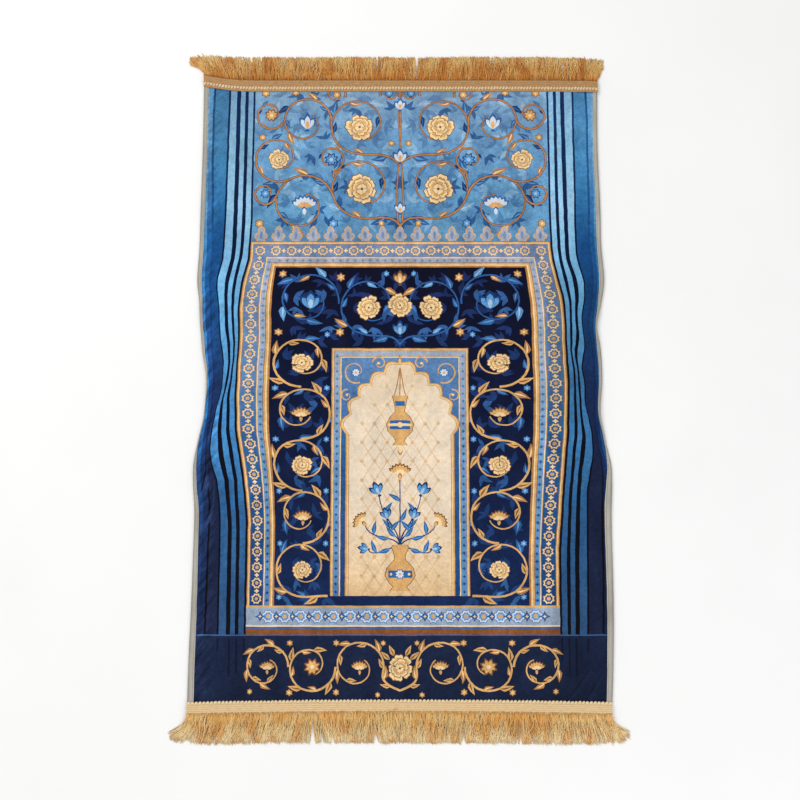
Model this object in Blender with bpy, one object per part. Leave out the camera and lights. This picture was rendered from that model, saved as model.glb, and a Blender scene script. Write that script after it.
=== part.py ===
"""A printed plush prayer rug with fringed ends, lying flat on its back.

Metres, +Z up. The floor is the plane z = 0 and the pile faces +Z. +Y runs along the rug to its
top end and +X to its right side. The middle of the rug lies flat. Its two long edges are pulled
in a little here and there, and rise in low ripples where they are.
"""
import math
import random

import bmesh
import bpy
from mathutils import Vector

MM = 0.001

# The cloth: one panel of plush, pile included. The sewn tapes press the pile down
CLOTH_HALF_WIDTH = 326 * MM
CLOTH_TOP = 513 * MM
CLOTH_BOTTOM = -510 * MM
CLOTH_THICKNESS = 4 * MM
PRESSED_THICKNESS = 2.4 * MM
PRESS_RUN_OUT = 6 * MM
GAP = 0.3 * MM

# The binding: a tape folded round each long edge
BINDING_REACH = 10 * MM
BINDING_TAPE = 0.8 * MM
BINDING_SOFT_CORNER = 0.9 * MM

# The heading: a tape with a beaded rib that covers each end of the cloth
HEADING_GAP = 0.6 * MM
HEADING_FRONT = 1.8 * MM
HEADING_REACH = 16.5 * MM
HEADING_COVER = 18 * MM
HEADING_EDGE_THICKNESS = 0.9 * MM
HEADING_TAPE_THICKNESS = 1.0 * MM
HEADING_ROUND = 0.9 * MM
RIB_CREST_AT = 11.8 * MM
RIB_FOOT_AT = 7.2 * MM
BEAD_HEIGHT = 2.6 * MM
BEAD_VALLEY = 1.6 * MM
BEADS = 90

# The fringe: strands that leave the heading's front at the floor and rest on it
STRANDS_PER_CELL = 0.75
STRAND_LENGTH = 42 * MM
STRAND_LENGTH_SPREAD = 2.2 * MM
STRAND_LEAN = 3.4 * MM
STRAND_LEAN_MEMORY = 0.55
STRAND_MIN_PITCH = 2.3 * MM
STRAND_BEND_AT = 0.4
STRAND_BEND_EASE = 1.3
STRAND_LEAST_REACH = 0.6
STRAND_ROOT_HEIGHT = 2.2 * MM
STRAND_BEND_SECTION = (2.2 * MM, 1.9 * MM)
STRAND_TIP_SECTION = (1.4 * MM, 1.2 * MM)
CORNER_STRANDS = 7
CORNER_FAN_EASE = 1.6

# Where each long edge lies: rows along the rug, plan distance of either edge from the centre line
EDGE_OUTLINE = [
    # y, left edge, right edge (mm)
    (514, 323.0, 325.0),
    (400, 322.5, 323.0),
    (290, 323.5, 325.0),
    (225, 324.0, 325.0),
    (172, 326.0, 328.0),
    (136, 321.5, 323.0),
    (98, 319.0, 313.5),
    (60, 314.5, 320.0),
    (12, 306.5, 321.5),
    (-42, 309.5, 316.0),
    (-88, 319.0, 324.0),
    (-130, 325.0, 332.5),
    (-205, 321.5, 330.5),
    (-340, 323.0, 330.5),
    (-430, 325.0, 328.0),
    (-511, 325.5, 323.5),
]

# Low ripples beside the long edges. Each is a ridge along the edge, its crest the given way in
RIPPLES = [
    # side, y, half run, crest inboard, inner half width, height, drift of the crest per run (mm)
    (-1, 14, 92, 13, 27, 9.5, -5),
    (-1, 118, 52, 17, 24, 4.5, 4),
    (-1, -150, 60, 26, 26, 3.0, 12),
    (-1, -262, 70, 30, 24, 2.2, -12),
    (1, 100, 46, 12, 24, 8.5, 5),
    (1, -46, 66, 13, 26, 8.5, 4),
    (1, 196, 55, 22, 24, 3.2, -8),
    (1, -170, 70, 28, 28, 2.4, 10),
]

# The plan bow of the two ends: how far each corner runs past the middle of its end
TOP_LEFT_CORNER_REACH = 8.5 * MM
TOP_RIGHT_CORNER_REACH = -2.5 * MM
CORNER_BOW_FROM = 235 * MM
BOTTOM_CORNER_REACH = 3.7 * MM
END_BOW_DEPTH = 90 * MM

# The spread of each corner's outermost strand past the heading's own end
TOP_SPLAY = (25 * MM, 12 * MM)
BOTTOM_SPLAY = (28 * MM, 29 * MM)

# How the panel is divided: columns by their distance from the edge, rows by their pitch
EDGE_COLUMNS = (0, 10, 16, 23, 31, 41, 54, 78, 130, 220)
RIPPLE_ROW_PITCH = 13 * MM
PLAIN_ROW_PITCH = 30 * MM
RIPPLE_ZONE = (-345 * MM, 260 * MM)
EDGE_RISE_WIDTH = 16 * MM
CORNER_RISE_FROM = 50 * MM
CORNER_RISE_TO = 13 * MM
PULL_ZONE = 75 * MM
PULL_EASE = 1.5
EDGE_ROLL = 0.85
SLOPE_STEP = 0.5 * MM

PLUSH_BLUE = (0.035, 0.13, 0.36, 1.0)
BINDING_GREIGE = (0.48, 0.44, 0.37, 1.0)
FRINGE_GOLD = (0.72, 0.45, 0.17, 1.0)


def smoothstep(t):
    t = min(1.0, max(0.0, t))
    return t * t * (3 - 2 * t)


def edge_outline(side, y):
    """Plan distance of one long edge from the centre line, smoothly through the table's rows."""
    rows = [(row[0] * MM, row[1 if side < 0 else 2] * MM) for row in EDGE_OUTLINE]
    if y >= rows[0][0]:
        return rows[0][1]
    if y <= rows[-1][0]:
        return rows[-1][1]
    i = next(k for k in range(len(rows) - 1) if rows[k + 1][0] <= y)
    (y1, x1), (y2, x2) = rows[i], rows[i + 1]
    y0, x0 = rows[max(0, i - 1)]
    y3, x3 = rows[min(len(rows) - 1, i + 2)]
    slope1 = (x2 - x0) / (y2 - y0)
    slope2 = (x3 - x1) / (y3 - y1)
    t = (y - y1) / (y2 - y1)
    run = y2 - y1
    return ((2 * t ** 3 - 3 * t ** 2 + 1) * x1 + (t ** 3 - 2 * t ** 2 + t) * run * slope1
            + (3 * t ** 2 - 2 * t ** 3) * x2 + (t ** 3 - t ** 2) * run * slope2)


def end_bow(x, y):
    """How far a point moves along the rug because the ends of the cloth are not quite straight."""
    out = max(0.0, abs(x) - CORNER_BOW_FROM) / (CLOTH_HALF_WIDTH - CORNER_BOW_FROM)
    reach = TOP_LEFT_CORNER_REACH if x < 0 else TOP_RIGHT_CORNER_REACH
    top = reach * out ** 2 * smoothstep((y - CLOTH_TOP) / END_BOW_DEPTH + 1)
    bottom = BOTTOM_CORNER_REACH * (x / CLOTH_HALF_WIDTH) ** 2
    return top - bottom * smoothstep((CLOTH_BOTTOM - y) / END_BOW_DEPTH + 1)


def edge_rise(across):
    """Height of the cloth's underside near a long edge, where the tape runs under it."""
    inboard = CLOTH_HALF_WIDTH - abs(across)
    return (GAP + BINDING_TAPE) * smoothstep((BINDING_REACH + EDGE_RISE_WIDTH - inboard)
                                             / (EDGE_RISE_WIDTH - 2 * MM))


def ripple_height(across, y):
    """Height of the ripples at a place on the cloth.

    A ripple is a bell on its inner side, and rolls over and down towards the edge on its outer one.
    """
    side = -1 if across < 0 else 1
    inboard = CLOTH_HALF_WIDTH - abs(across)
    total = 0.0
    for row_side, centre, half_run, crest, inner, height, drift in RIPPLES:
        along = (y / MM - centre) / half_run
        if row_side != side or abs(along) >= 1:
            continue
        crest_here = crest + drift * along
        off = inboard / MM - crest_here
        if off >= 0:
            section = 0.5 + 0.5 * math.cos(math.pi * min(1.0, off / inner))
        else:
            section = math.cos(math.pi / 2 * min(1.0, -off / crest_here * EDGE_ROLL))
        total += height * MM * (0.5 + 0.5 * math.cos(math.pi * along)) * section
    return total


def underside(across, y):
    """The place of a cloth point's underside. across and y are its place on the flat cloth."""
    side = -1 if across < 0 else 1
    pull = edge_outline(side, y) - BINDING_TAPE - GAP - CLOTH_HALF_WIDTH
    taken = max(0.0, (abs(across) - CLOTH_HALF_WIDTH) / PULL_ZONE + 1) ** PULL_EASE
    x = across + side * pull * taken
    return Vector((x, y + end_bow(x, y), edge_rise(across) + ripple_height(across, y)))


def cloth_point(across, y, height):
    """A point a given height above the cloth's underside, square to the cloth."""
    here = underside(across, y)
    right = underside(across + SLOPE_STEP, y) - underside(across - SLOPE_STEP, y)
    ahead = underside(across, y + SLOPE_STEP) - underside(across, y - SLOPE_STEP)
    return here + right.cross(ahead).normalized() * height


def cloth_thickness(across, y):
    """Thickness of the plush: full in the field, pressed flat under the binding and headings."""
    from_edge = CLOTH_HALF_WIDTH - abs(across) - BINDING_REACH
    from_end = min(CLOTH_TOP - y, y - CLOTH_BOTTOM) - HEADING_COVER
    swell = smoothstep(min(from_edge, from_end) / PRESS_RUN_OUT)
    return PRESSED_THICKNESS + (CLOTH_THICKNESS - PRESSED_THICKNESS) * swell


def row_stations():
    """Rows along the cloth: one where each heading ends, and close together where it ripples."""
    bottom_cover = CLOTH_BOTTOM + HEADING_COVER
    top_cover = CLOTH_TOP - HEADING_COVER
    spans = [(CLOTH_BOTTOM, bottom_cover, HEADING_COVER),
             (bottom_cover, bottom_cover + PRESS_RUN_OUT, PRESS_RUN_OUT),
             (bottom_cover + PRESS_RUN_OUT, RIPPLE_ZONE[0], PLAIN_ROW_PITCH),
             (RIPPLE_ZONE[0], RIPPLE_ZONE[1], RIPPLE_ROW_PITCH),
             (RIPPLE_ZONE[1], top_cover - PRESS_RUN_OUT, PLAIN_ROW_PITCH),
             (top_cover - PRESS_RUN_OUT, top_cover, PRESS_RUN_OUT),
             (top_cover, CLOTH_TOP, HEADING_COVER)]
    rows = [CLOTH_BOTTOM]
    for start, end, pitch in spans:
        steps = round((end - start) / pitch)
        rows += [start + (end - start) * k / steps for k in range(1, steps + 1)]
    return rows


def make_material(name, colour, roughness):
    material = bpy.data.materials.new(name)
    material.use_nodes = True
    shader = material.node_tree.nodes["Principled BSDF"]
    shader.inputs["Base Color"].default_value = colour
    shader.inputs["Roughness"].default_value = roughness
    shader.inputs["Metallic"].default_value = 0.0
    return material


def add_object(name, bm, material, smooth_angle=math.radians(40)):
    """Turn a closed bmesh into a named object with its faces pointing out."""
    bmesh.ops.recalc_face_normals(bm, faces=bm.faces)
    mesh = bpy.data.meshes.new(name)
    bm.to_mesh(mesh)
    bm.free()
    mesh.shade_smooth()
    mesh.set_sharp_from_angle(angle=smooth_angle)
    mesh.materials.append(material)
    obj = bpy.data.objects.new(name, mesh)
    bpy.context.scene.collection.objects.link(obj)
    return obj


def skin_between(bm, ring_a, ring_b):
    """Side faces between two closed rings with as many points each."""
    count = len(ring_a)
    for k in range(count):
        bm.faces.new((ring_a[k], ring_a[(k + 1) % count], ring_b[(k + 1) % count], ring_b[k]))


def add_cell(bm, outer_a, inner_a, outer_b, inner_b):
    """Two triangles between two rows, split from row a's outer point to row b's inner one.

    The panel and the tape round it are split the same way, so their gap stays even.
    """
    bm.faces.new((outer_a, inner_a, inner_b))
    bm.faces.new((outer_a, inner_b, outer_b))


def build_panel(material):
    """The plush panel: a sheet of even thickness on the rippled floor line."""
    inboard = [CLOTH_HALF_WIDTH - d * MM for d in EDGE_COLUMNS]
    columns = [-x for x in inboard] + inboard[::-1]
    rows = row_stations()
    bm = bmesh.new()
    lower = [[bm.verts.new(cloth_point(x, y, 0.0)) for x in columns] for y in rows]
    upper = [[bm.verts.new(cloth_point(x, y, cloth_thickness(x, y))) for x in columns]
             for y in rows]
    for layer in (lower, upper):
        for row_a, row_b in zip(layer, layer[1:]):
            for i in range(len(columns) - 1):
                outer, inner = (i, i + 1) if columns[i + 1] < 0 else (i + 1, i)
                add_cell(bm, row_a[outer], row_a[inner], row_b[outer], row_b[inner])
    for j in range(len(rows) - 1):
        for i in (0, -1):
            bm.faces.new((lower[j][i], lower[j + 1][i], upper[j + 1][i], upper[j][i]))
    for i in range(len(columns) - 1):
        for j in (0, -1):
            bm.faces.new((lower[j][i], lower[j][i + 1], upper[j][i + 1], upper[j][i]))
    return add_object("rug_body", bm, material)


def binding_section():
    """The folded tape's outline: (distance inboard of the cloth's edge, height on the cloth)."""
    top = PRESSED_THICKNESS + GAP
    out = GAP + BINDING_TAPE
    soft = BINDING_SOFT_CORNER
    return [(BINDING_REACH, top), (BINDING_REACH, top + BINDING_TAPE),
            (soft - out, top + BINDING_TAPE), (-out, top + BINDING_TAPE - soft),
            (-out, soft - out), (soft - out, -out), (BINDING_REACH, -out),
            (BINDING_REACH, -GAP), (-GAP, -GAP), (-GAP, top)]


def build_binding(name, side, material):
    """A tape folded round one long edge, following its ripples."""
    section = binding_section()
    bm = bmesh.new()
    rings = []
    for y in row_stations():
        rings.append([bm.verts.new(cloth_point(side * (CLOTH_HALF_WIDTH - inboard), y, height))
                      for inboard, height in section])
    for ring_a, ring_b in zip(rings, rings[1:]):
        for k in range(len(section)):
            outer, inner = sorted((k, (k + 1) % len(section)), key=lambda i: section[i][0])
            add_cell(bm, ring_a[outer], ring_a[inner], ring_b[outer], ring_b[inner])
    for ring in (rings[0], rings[-1]):
        bm.faces.new(ring)
    return add_object(name, bm, material)


def heading_underside(x):
    """Height of the heading's underside: on the cloth, and over the binding at the corners."""
    inboard = CLOTH_HALF_WIDTH - abs(x)
    rise = 2 * (GAP + BINDING_TAPE)
    return (PRESSED_THICKNESS + GAP
            + rise * smoothstep((CORNER_RISE_FROM - inboard) / (CORNER_RISE_FROM - CORNER_RISE_TO)))


def heading_section(x, bead):
    """The heading's outline at one station: (distance inboard of the cloth's end, height).

    The last two points are the corners of the front, where a strand may start.
    """
    under = heading_underside(x)
    front = -(HEADING_GAP + HEADING_FRONT)
    crest = BEAD_HEIGHT if bead else BEAD_VALLEY
    return [(front, 0.0), (-HEADING_GAP, 0.0), (-HEADING_GAP, under), (HEADING_REACH, under),
            (HEADING_REACH, under + HEADING_EDGE_THICKNESS), (RIB_CREST_AT, under + crest),
            (RIB_FOOT_AT, under + HEADING_TAPE_THICKNESS),
            (front + HEADING_ROUND, under + HEADING_TAPE_THICKNESS),
            (front, STRAND_ROOT_HEIGHT)]


def strand_tips(roots, splay, rng):
    """Where each strand's tip lies across the rug: leaning at random, fanned at the corners."""
    wander = 0.0
    tips = []
    for root in roots:
        wander = STRAND_LEAN_MEMORY * wander + STRAND_LEAN * rng.uniform(-1, 1)
        tips.append(root + wander)
    for k in range(CORNER_STRANDS):
        fan = (1 - k / CORNER_STRANDS) ** CORNER_FAN_EASE
        tips[k] = roots[k] - splay[0] * fan
        tips[-1 - k] = roots[-1 - k] + splay[1] * fan
    for k in range(1, len(tips)):
        tips[k] = max(tips[k], tips[k - 1] + STRAND_MIN_PITCH)
    for k in range(len(tips) - 1, 0, -1):
        if tips[k] > roots[-1] + splay[1]:
            tips[k] = roots[-1] + splay[1]
        tips[k - 1] = min(tips[k - 1], tips[k] - STRAND_MIN_PITCH)
    return tips


def grow_strand(bm, root_ring, start, tip, outward, length):
    """A four-sided strand on the floor, from a face of the heading's front to its tip."""
    least = STRAND_LEAST_REACH * length
    reach = math.sqrt(max(length ** 2 - (tip - start.x) ** 2, least ** 2))
    ring = root_ring
    for part, (width, height) in ((STRAND_BEND_AT, STRAND_BEND_SECTION), (1.0, STRAND_TIP_SECTION)):
        x = start.x + (tip - start.x) * part ** STRAND_BEND_EASE
        y = start.y + outward * reach * part
        corners = [(x - width / 2, y, 0), (x + width / 2, y, 0),
                   (x + width / 2, y, height), (x - width / 2, y, height)]
        new_ring = [bm.verts.new(corner) for corner in corners]
        skin_between(bm, ring, new_ring)
        ring = new_ring
    bm.faces.new(ring)


def build_fringe(name, end, splay, seed, material):
    """A heading tape over one end of the cloth, with the fringe that grows out of its front."""
    rng = random.Random(seed)
    cloth_end = CLOTH_TOP if end > 0 else CLOTH_BOTTOM
    half_left = edge_outline(-1, cloth_end) + GAP
    half_right = edge_outline(1, cloth_end) + GAP
    cells = 2 * BEADS
    bm = bmesh.new()
    rings = []
    for k in range(cells + 1):
        x = -half_left + (half_left + half_right) * k / cells
        line = cloth_end + end_bow(x, cloth_end)
        rings.append([bm.verts.new((x, line - end * inboard, z))
                      for inboard, z in heading_section(x, bead=k % 2 == 1)])
    bare = set(rng.sample(range(1, cells - 1), round(cells * (1 - STRANDS_PER_CELL))))
    rooted = [k for k in range(cells) if k not in bare]
    starts = [(rings[k][0].co + rings[k + 1][0].co) / 2 for k in rooted]
    tips = strand_tips([start.x for start in starts], splay, rng)
    for k, (ring_a, ring_b) in enumerate(zip(rings, rings[1:])):
        count = len(ring_a)
        sides = count if k in bare else count - 1
        for i in range(sides):
            j = (i + 1) % count
            bm.faces.new((ring_a[i], ring_a[j], ring_b[j], ring_b[i]))
    for k, start, tip in zip(rooted, starts, tips):
        root_ring = [rings[k][0], rings[k + 1][0], rings[k + 1][-1], rings[k][-1]]
        length = STRAND_LENGTH + STRAND_LENGTH_SPREAD * rng.uniform(-1, 1)
        grow_strand(bm, root_ring, start, tip, end, length)
    for ring in (rings[0], rings[-1]):
        bm.faces.new(ring)
    return add_object(name, bm, material)


def main():
    for obj in list(bpy.data.objects):
        bpy.data.objects.remove(obj, do_unlink=True)
    plush = make_material("plush", PLUSH_BLUE, 0.85)
    satin_tape = make_material("binding_tape", BINDING_GREIGE, 0.5)
    fringe_yarn = make_material("fringe_yarn", FRINGE_GOLD, 0.6)
    build_panel(plush)
    build_binding("binding_left", -1, satin_tape)
    build_binding("binding_right", 1, satin_tape)
    build_fringe("fringe_top", 1, TOP_SPLAY, 11, fringe_yarn)
    build_fringe("fringe_bottom", -1, BOTTOM_SPLAY, 23, fringe_yarn)


main()
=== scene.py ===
import functools
import math
import random

import bpy
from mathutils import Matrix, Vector, noise
from mathutils.geometry import delaunay_2d_cdt


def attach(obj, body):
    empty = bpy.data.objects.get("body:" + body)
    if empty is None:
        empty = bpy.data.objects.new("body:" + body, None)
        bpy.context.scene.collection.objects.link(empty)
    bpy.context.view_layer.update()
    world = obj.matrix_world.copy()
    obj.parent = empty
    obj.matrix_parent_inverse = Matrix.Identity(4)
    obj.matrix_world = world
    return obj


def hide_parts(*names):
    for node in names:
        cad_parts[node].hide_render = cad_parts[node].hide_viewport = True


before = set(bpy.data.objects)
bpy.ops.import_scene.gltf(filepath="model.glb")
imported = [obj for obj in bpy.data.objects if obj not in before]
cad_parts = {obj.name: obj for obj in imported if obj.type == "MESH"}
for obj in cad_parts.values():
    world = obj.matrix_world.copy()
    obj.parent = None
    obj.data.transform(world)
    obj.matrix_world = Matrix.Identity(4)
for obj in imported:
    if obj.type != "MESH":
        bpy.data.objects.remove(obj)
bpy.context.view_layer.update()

# A printed plush prayer rug. Objects are in metres, on the floor z = 0, with +Y to the rug's top end.
# The print is drawn flat, in millimetres, and laid on the cloth; the cloth's own course repeats part.py.
MM = 0.001

# ---------------------------------------------------------------- the cloth, as in part.py
CLOTH_HALF_WIDTH = 326 * MM
CLOTH_TOP = 511.5 * MM
CLOTH_BOTTOM = -508.5 * MM
CLOTH_THICKNESS = 4 * MM
PRESSED_THICKNESS = 2.4 * MM
END_RUN_OUT = 6 * MM
EDGE_RUN_OUT = 3.5 * MM
GAP = 0.3 * MM
BINDING_REACH = 10 * MM
BINDING_TAPE = 0.8 * MM
TOP_COVER = 19.5 * MM
BOTTOM_COVER = 24.5 * MM
EDGE_OUTLINE = [
    # y, left edge, right edge (mm)
    (514, 323.0, 325.0),
    (400, 322.5, 323.0),
    (290, 323.5, 325.0),
    (225, 324.0, 325.0),
    (172, 326.0, 328.0),
    (136, 321.5, 323.0),
    (98, 319.0, 313.5),
    (60, 314.5, 320.0),
    (12, 306.5, 321.5),
    (-42, 309.5, 316.0),
    (-88, 319.0, 324.0),
    (-130, 325.0, 332.5),
    (-205, 321.5, 330.5),
    (-340, 323.0, 330.5),
    (-430, 325.0, 328.0),
    (-511, 325.5, 323.5),
]
RIPPLES = [
    # side, y, half run, crest inboard, inner half width, height, drift of the crest per run (mm)
    (-1, 14, 92, 13, 27, 9.5, -5),
    (-1, 118, 52, 17, 24, 4.5, 4),
    (-1, -150, 60, 26, 26, 3.0, 12),
    (-1, -262, 70, 30, 24, 2.2, -12),
    (1, 100, 46, 12, 24, 8.5, 5),
    (1, -46, 66, 13, 26, 8.5, 4),
    (1, 196, 55, 22, 24, 3.2, -8),
    (1, -170, 70, 28, 28, 2.4, 10),
]
TOP_LEFT_CORNER_REACH = 8.5 * MM
TOP_RIGHT_CORNER_REACH = -2.5 * MM
CORNER_BOW_FROM = 235 * MM
BOTTOM_CORNER_REACH = 3.7 * MM
END_BOW_DEPTH = 90 * MM
EDGE_RISE_WIDTH = 16 * MM
EDGE_RISE_STOPS = 2 * MM
CORNER_RISE_FROM = 50 * MM
CORNER_RISE_TO = 13 * MM
PULL_ZONE = 75 * MM
PULL_EASE = 1.5
EDGE_ROLL = 0.85
SLOPE_STEP = 0.5 * MM

# How much of the binding shows on top: where the edge rolls under, the plush hides nearly all of it
TAPE_SHOWS = {
    # y, reach inboard of the cloth's edge (mm)
    -1: [(510, 7.6), (300, 6.4), (170, 6.2), (125, 4.8), (60, 5.4), (27, 5.6), (11, 4.6), (-6, 3.0),
         (-22, 1.6), (-98, 1.4), (-118, 4.0), (-150, 5.0), (-200, 7.0), (-300, 8.0), (-400, 9.0),
         (-508, 9.0)],
    1: [(510, 6.6), (240, 6.4), (170, 7.0), (120, 4.6), (98, 3.6), (62, 5.6), (14, 4.8), (-22, 5.0),
        (-50, 4.6), (-76, 2.6), (-100, 2.4), (-125, 4.6), (-150, 7.2), (-185, 9.4), (-300, 8.6), (-508, 8.2)],
}

# The plush's own small relief: a slow swell all over, and soft ridges where the nap is creased
SWELL_HEIGHT = 0.45 * MM
SWELL_SCALE = 38 * MM
CREASES = [
    # from x, y to x, y, half width, height (mm)
    (-317, -224, -287, -150, 5, 2.2),
    (-308, -268, -284, -222, 5, 1.1),
    (-318, -172, -304, -126, 5, 1.4),
    (-306, -308, -284, -266, 6, 1.0),
    (-308, -100, -288, -48, 6, 1.6),
    (248, -486, 292, -440, 5, 1.2),
    (276, -492, 310, -448, 5, 1.2),
    (306, -250, 286, -196, 7, 0.7),
    (312, -130, 290, -84, 7, 0.8),
    (304, 236, 282, 176, 8, 0.7),
    (-300, 330, -282, 262, 9, 0.6),
]
# Creases of at least this height (mm) get a painted shade line with a painted highlight beside it
PAINTED_CREASE_HEIGHT = 1.15

# ---------------------------------------------------------------- the print's levels and stripes (mm)
FIELD = 239.5
PRINT_TOP = 507
FRAME_TOP = 238
TILES_TOP = -347
BASE_TOP = -375
STRIPES_END = -389
PRINT_BOTTOM = -504
PRINT_EDGE = 325.4
FRAME_INNER = 196
# The four dark lines between the stripes, from the innermost: the drawn middle, and the width
STRIPE_LINES = ((241, 3.2), (253, 5.2), (266, 6.8), (283, 3.4))
RIM_LINE = 307.7
# The blocks behind the lines: ink, from x, to x, and their foot
STRIPE_BLOCKS = (("edge_light", 316, PRINT_EDGE, PRINT_BOTTOM), ("edge_mid", 309.5, 316, PRINT_BOTTOM),
                 ("edge_dark", 306, 309.5, STRIPES_END), ("stripe_light", 240, 283, STRIPES_END))
# Where the stripes turn on each side: y, then how far out each dark line runs, from the innermost (mm)
STRIPE_COURSE = {
    -1: [(510, 239, 251, 265, 280), (342, 240, 252, 266, 283), (274, 240, 253, 267, 284),
         (224, 243, 255, 268, 286), (207, 244, 258, 270, 287), (174, 253, 265, 278, 295),
         (150, 257, 268, 281, 295), (125, 259, 269, 280, 294), (92, 258, 267, 279, 292),
         (72, 258, 265, 275, 290), (43, 260, 266, 274, 286), (27, 261, 270, 276, 288),
         (11, 261, 271, 279, 292), (-6, 262, 275, 284, 294), (-22, 262, 276, 291, 298),
         (-38, 261, 275, 292, 303), (-70, 260, 274, 290, 305), (-101, 254, 267, 285, 304),
         (-117, 251, 264, 282, 300), (-149, 246, 258, 273, 290), (-180, 242, 256, 270, 285),
         (-215, 239, 253, 266, 283), (-505, 239, 251, 265, 281)],
    1: [(510, 242, 254, 266, 284), (342, 243, 254, 268, 285), (274, 243, 255, 269, 284),
        (224, 245, 257, 270, 285), (207, 247, 259, 271, 287), (174, 255, 266, 282, 296),
        (141, 263, 273, 285, 298), (125, 265, 275, 284, 297), (92, 267, 276, 289, 302),
        (76, 266, 275, 287, 301), (59, 267, 274, 282, 298), (43, 267, 276, 282, 293),
        (27, 268, 278, 285, 291), (11, 269, 279, 286, 295), (-6, 269, 280, 287, 298),
        (-22, 269, 280, 291, 299), (-54, 267, 281, 293, 307), (-78, 266, 279, 293, 308),
        (-102, 263, 274, 288, 305), (-133, 260, 271, 282, 297), (-165, 257, 267, 280, 292),
        (-260, 249, 262, 275, 291), (-505, 248, 260, 272, 287)],
}
RIM_LINE_COURSE = {
    -1: [(510, 306), (450, 309), (375, 309), (293, 306), (222, 304), (0, 310), (-70, 312), (-180, 300),
         (-505, 304)],
    1: [(510, 306), (450, 309), (375, 309), (293, 308), (222, 307), (0, 314), (-300, 313), (-505, 310)],
}
# The print shifts sideways from WARP_FROM outwards; halfway to the lines it takes this share of the shift
WARP_FROM = 120
MIDDLE_FOLLOWS = 0.42

# ---------------------------------------------------------------- the inks, as they look in the photograph
# Each ink runs through colours along the rug: y in mm, then red, green, blue from 0 to 255
INKS = {
    "band": [(430, (64, 115, 155)), (375, (60, 118, 161)), (293, (42, 101, 153)), (235, (23, 75, 131)),
             (110, (24, 70, 122)), (0, (30, 52, 98)), (-120, (27, 36, 66)),
             (-500, (30, 38, 64))],
    "edge_light": [(420, (108, 148, 176)), (293, (90, 138, 172)), (230, (62, 124, 174)), (60, (52, 116, 174)),
                   (-40, (44, 108, 166)), (-140, (34, 70, 124)), (-240, (30, 54, 96)),
                   (-389, (25, 38, 70)), (-500, (23, 32, 56))],
    "edge_mid": [(430, (84, 134, 176)), (240, (30, 88, 146)), (0, (30, 62, 116)), (-150, (27, 46, 86)),
                 (-389, (25, 36, 68)), (-500, (23, 32, 56))],
    "edge_dark": [(500, (16, 48, 96)), (470, (32, 76, 116)), (350, (30, 74, 116)), (240, (22, 74, 130)),
                  (0, (24, 46, 92)), (-150, (18, 24, 48)), (-200, (14, 14, 24)), (-389, (14, 13, 22))],
    "line_dark": [(430, (14, 38, 78)), (240, (6, 22, 52)), (0, (10, 12, 26)), (-389, (15, 13, 22))],
    "stripe_light": [(477, (118, 158, 188)), (390, (128, 175, 203)), (300, (140, 184, 214)),
                     (150, (108, 174, 218)), (0, (74, 139, 195)), (-80, (68, 134, 192)),
                     (-190, (48, 98, 148)), (-389, (50, 84, 126))],
    "sky": [(500, (122, 154, 182)), (400, (104, 150, 190)), (300, (92, 144, 184)), (240, (88, 134, 172))],
    "sky_deep": [(500, (58, 98, 146)), (240, (40, 84, 138))],
    "sky_shade": [(500, (98, 130, 166)), (400, (82, 126, 170)), (240, (66, 112, 156))],
    "sky_pale": [(500, (150, 172, 196)), (400, (132, 172, 202)), (240, (120, 160, 194))],
    "silver": [(238, (158, 164, 180)), (60, (160, 170, 186)), (-100, (112, 152, 190)),
               (-347, (82, 130, 178))],
    "frame_blue": [(238, (112, 134, 170)), (60, (98, 134, 178)), (-80, (46, 96, 150)),
                   (-347, (28, 66, 120))],
    "panel": [(196, (12, 13, 34)), (60, (13, 19, 46)), (-120, (16, 26, 58)), (-347, (22, 40, 80))],
    "panel_shade": [(196, (26, 40, 88)), (60, (30, 54, 104)), (-120, (26, 50, 98)), (-347, (34, 66, 116))],
    "panel_leaf": [(196, (48, 84, 142)), (60, (54, 98, 156)), (-120, (40, 78, 132)), (-347, (46, 92, 144))],
    "base": [(-389, (27, 38, 66)), (-500, (23, 32, 56))],
    "base_line": [(-389, (62, 96, 142))],
    "base_shade": [(-389, (19, 25, 46)), (-500, (18, 24, 42))],
    # Painted shade and painted highlight along the creases
    "crease_dark": [(-60, (20, 36, 76)), (-150, (14, 17, 36)), (-300, (16, 19, 38)), (-500, (18, 25, 46))],
    "crease_light": [(-60, (34, 58, 106)), (-160, (35, 52, 88)), (-300, (35, 46, 78)), (-500, (25, 36, 61))],
    "gold": [(0, (212, 165, 105))],
    "gold_light": [(0, (238, 208, 158))],
    "gold_deep": [(0, (178, 124, 70))],
    "gold_dark": [(0, (122, 80, 46))],
    "stem_dark": [(500, (30, 62, 112)), (240, (16, 36, 78)), (-400, (12, 20, 44))],
    "blue_flower": [(0, (92, 148, 200))],
    "blue_pale": [(0, (158, 192, 220))],
    "blue_mid": [(0, (48, 98, 158))],
    "blue_deep": [(0, (24, 58, 110))],
    "white_blue": [(0, (206, 214, 224))],
    "cream": [(40, (224, 200, 168)), (-60, (232, 214, 190)), (-190, (228, 210, 186)),
              (-300, (228, 198, 158)), (-332, (222, 184, 136))],
    "cream_shade": [(0, (214, 184, 142)), (-332, (206, 166, 116))],
    "tile": [(-347, (150, 164, 184))],
    "rust": [(-375, (134, 80, 44))],
}


def linear(colour):
    """A screen colour from 0 to 255 as linear light, with an alpha of 1."""
    return tuple((c / 255 / 12.92) if c <= 10 else ((c / 255 + 0.055) / 1.055) ** 2.4
                 for c in colour) + (1.0,)


def smoothstep(t):
    """From 0 to 1 as t does, easing in and out, and level beyond."""
    t = min(1.0, max(0.0, t))
    return t * t * (3 - 2 * t)


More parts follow.
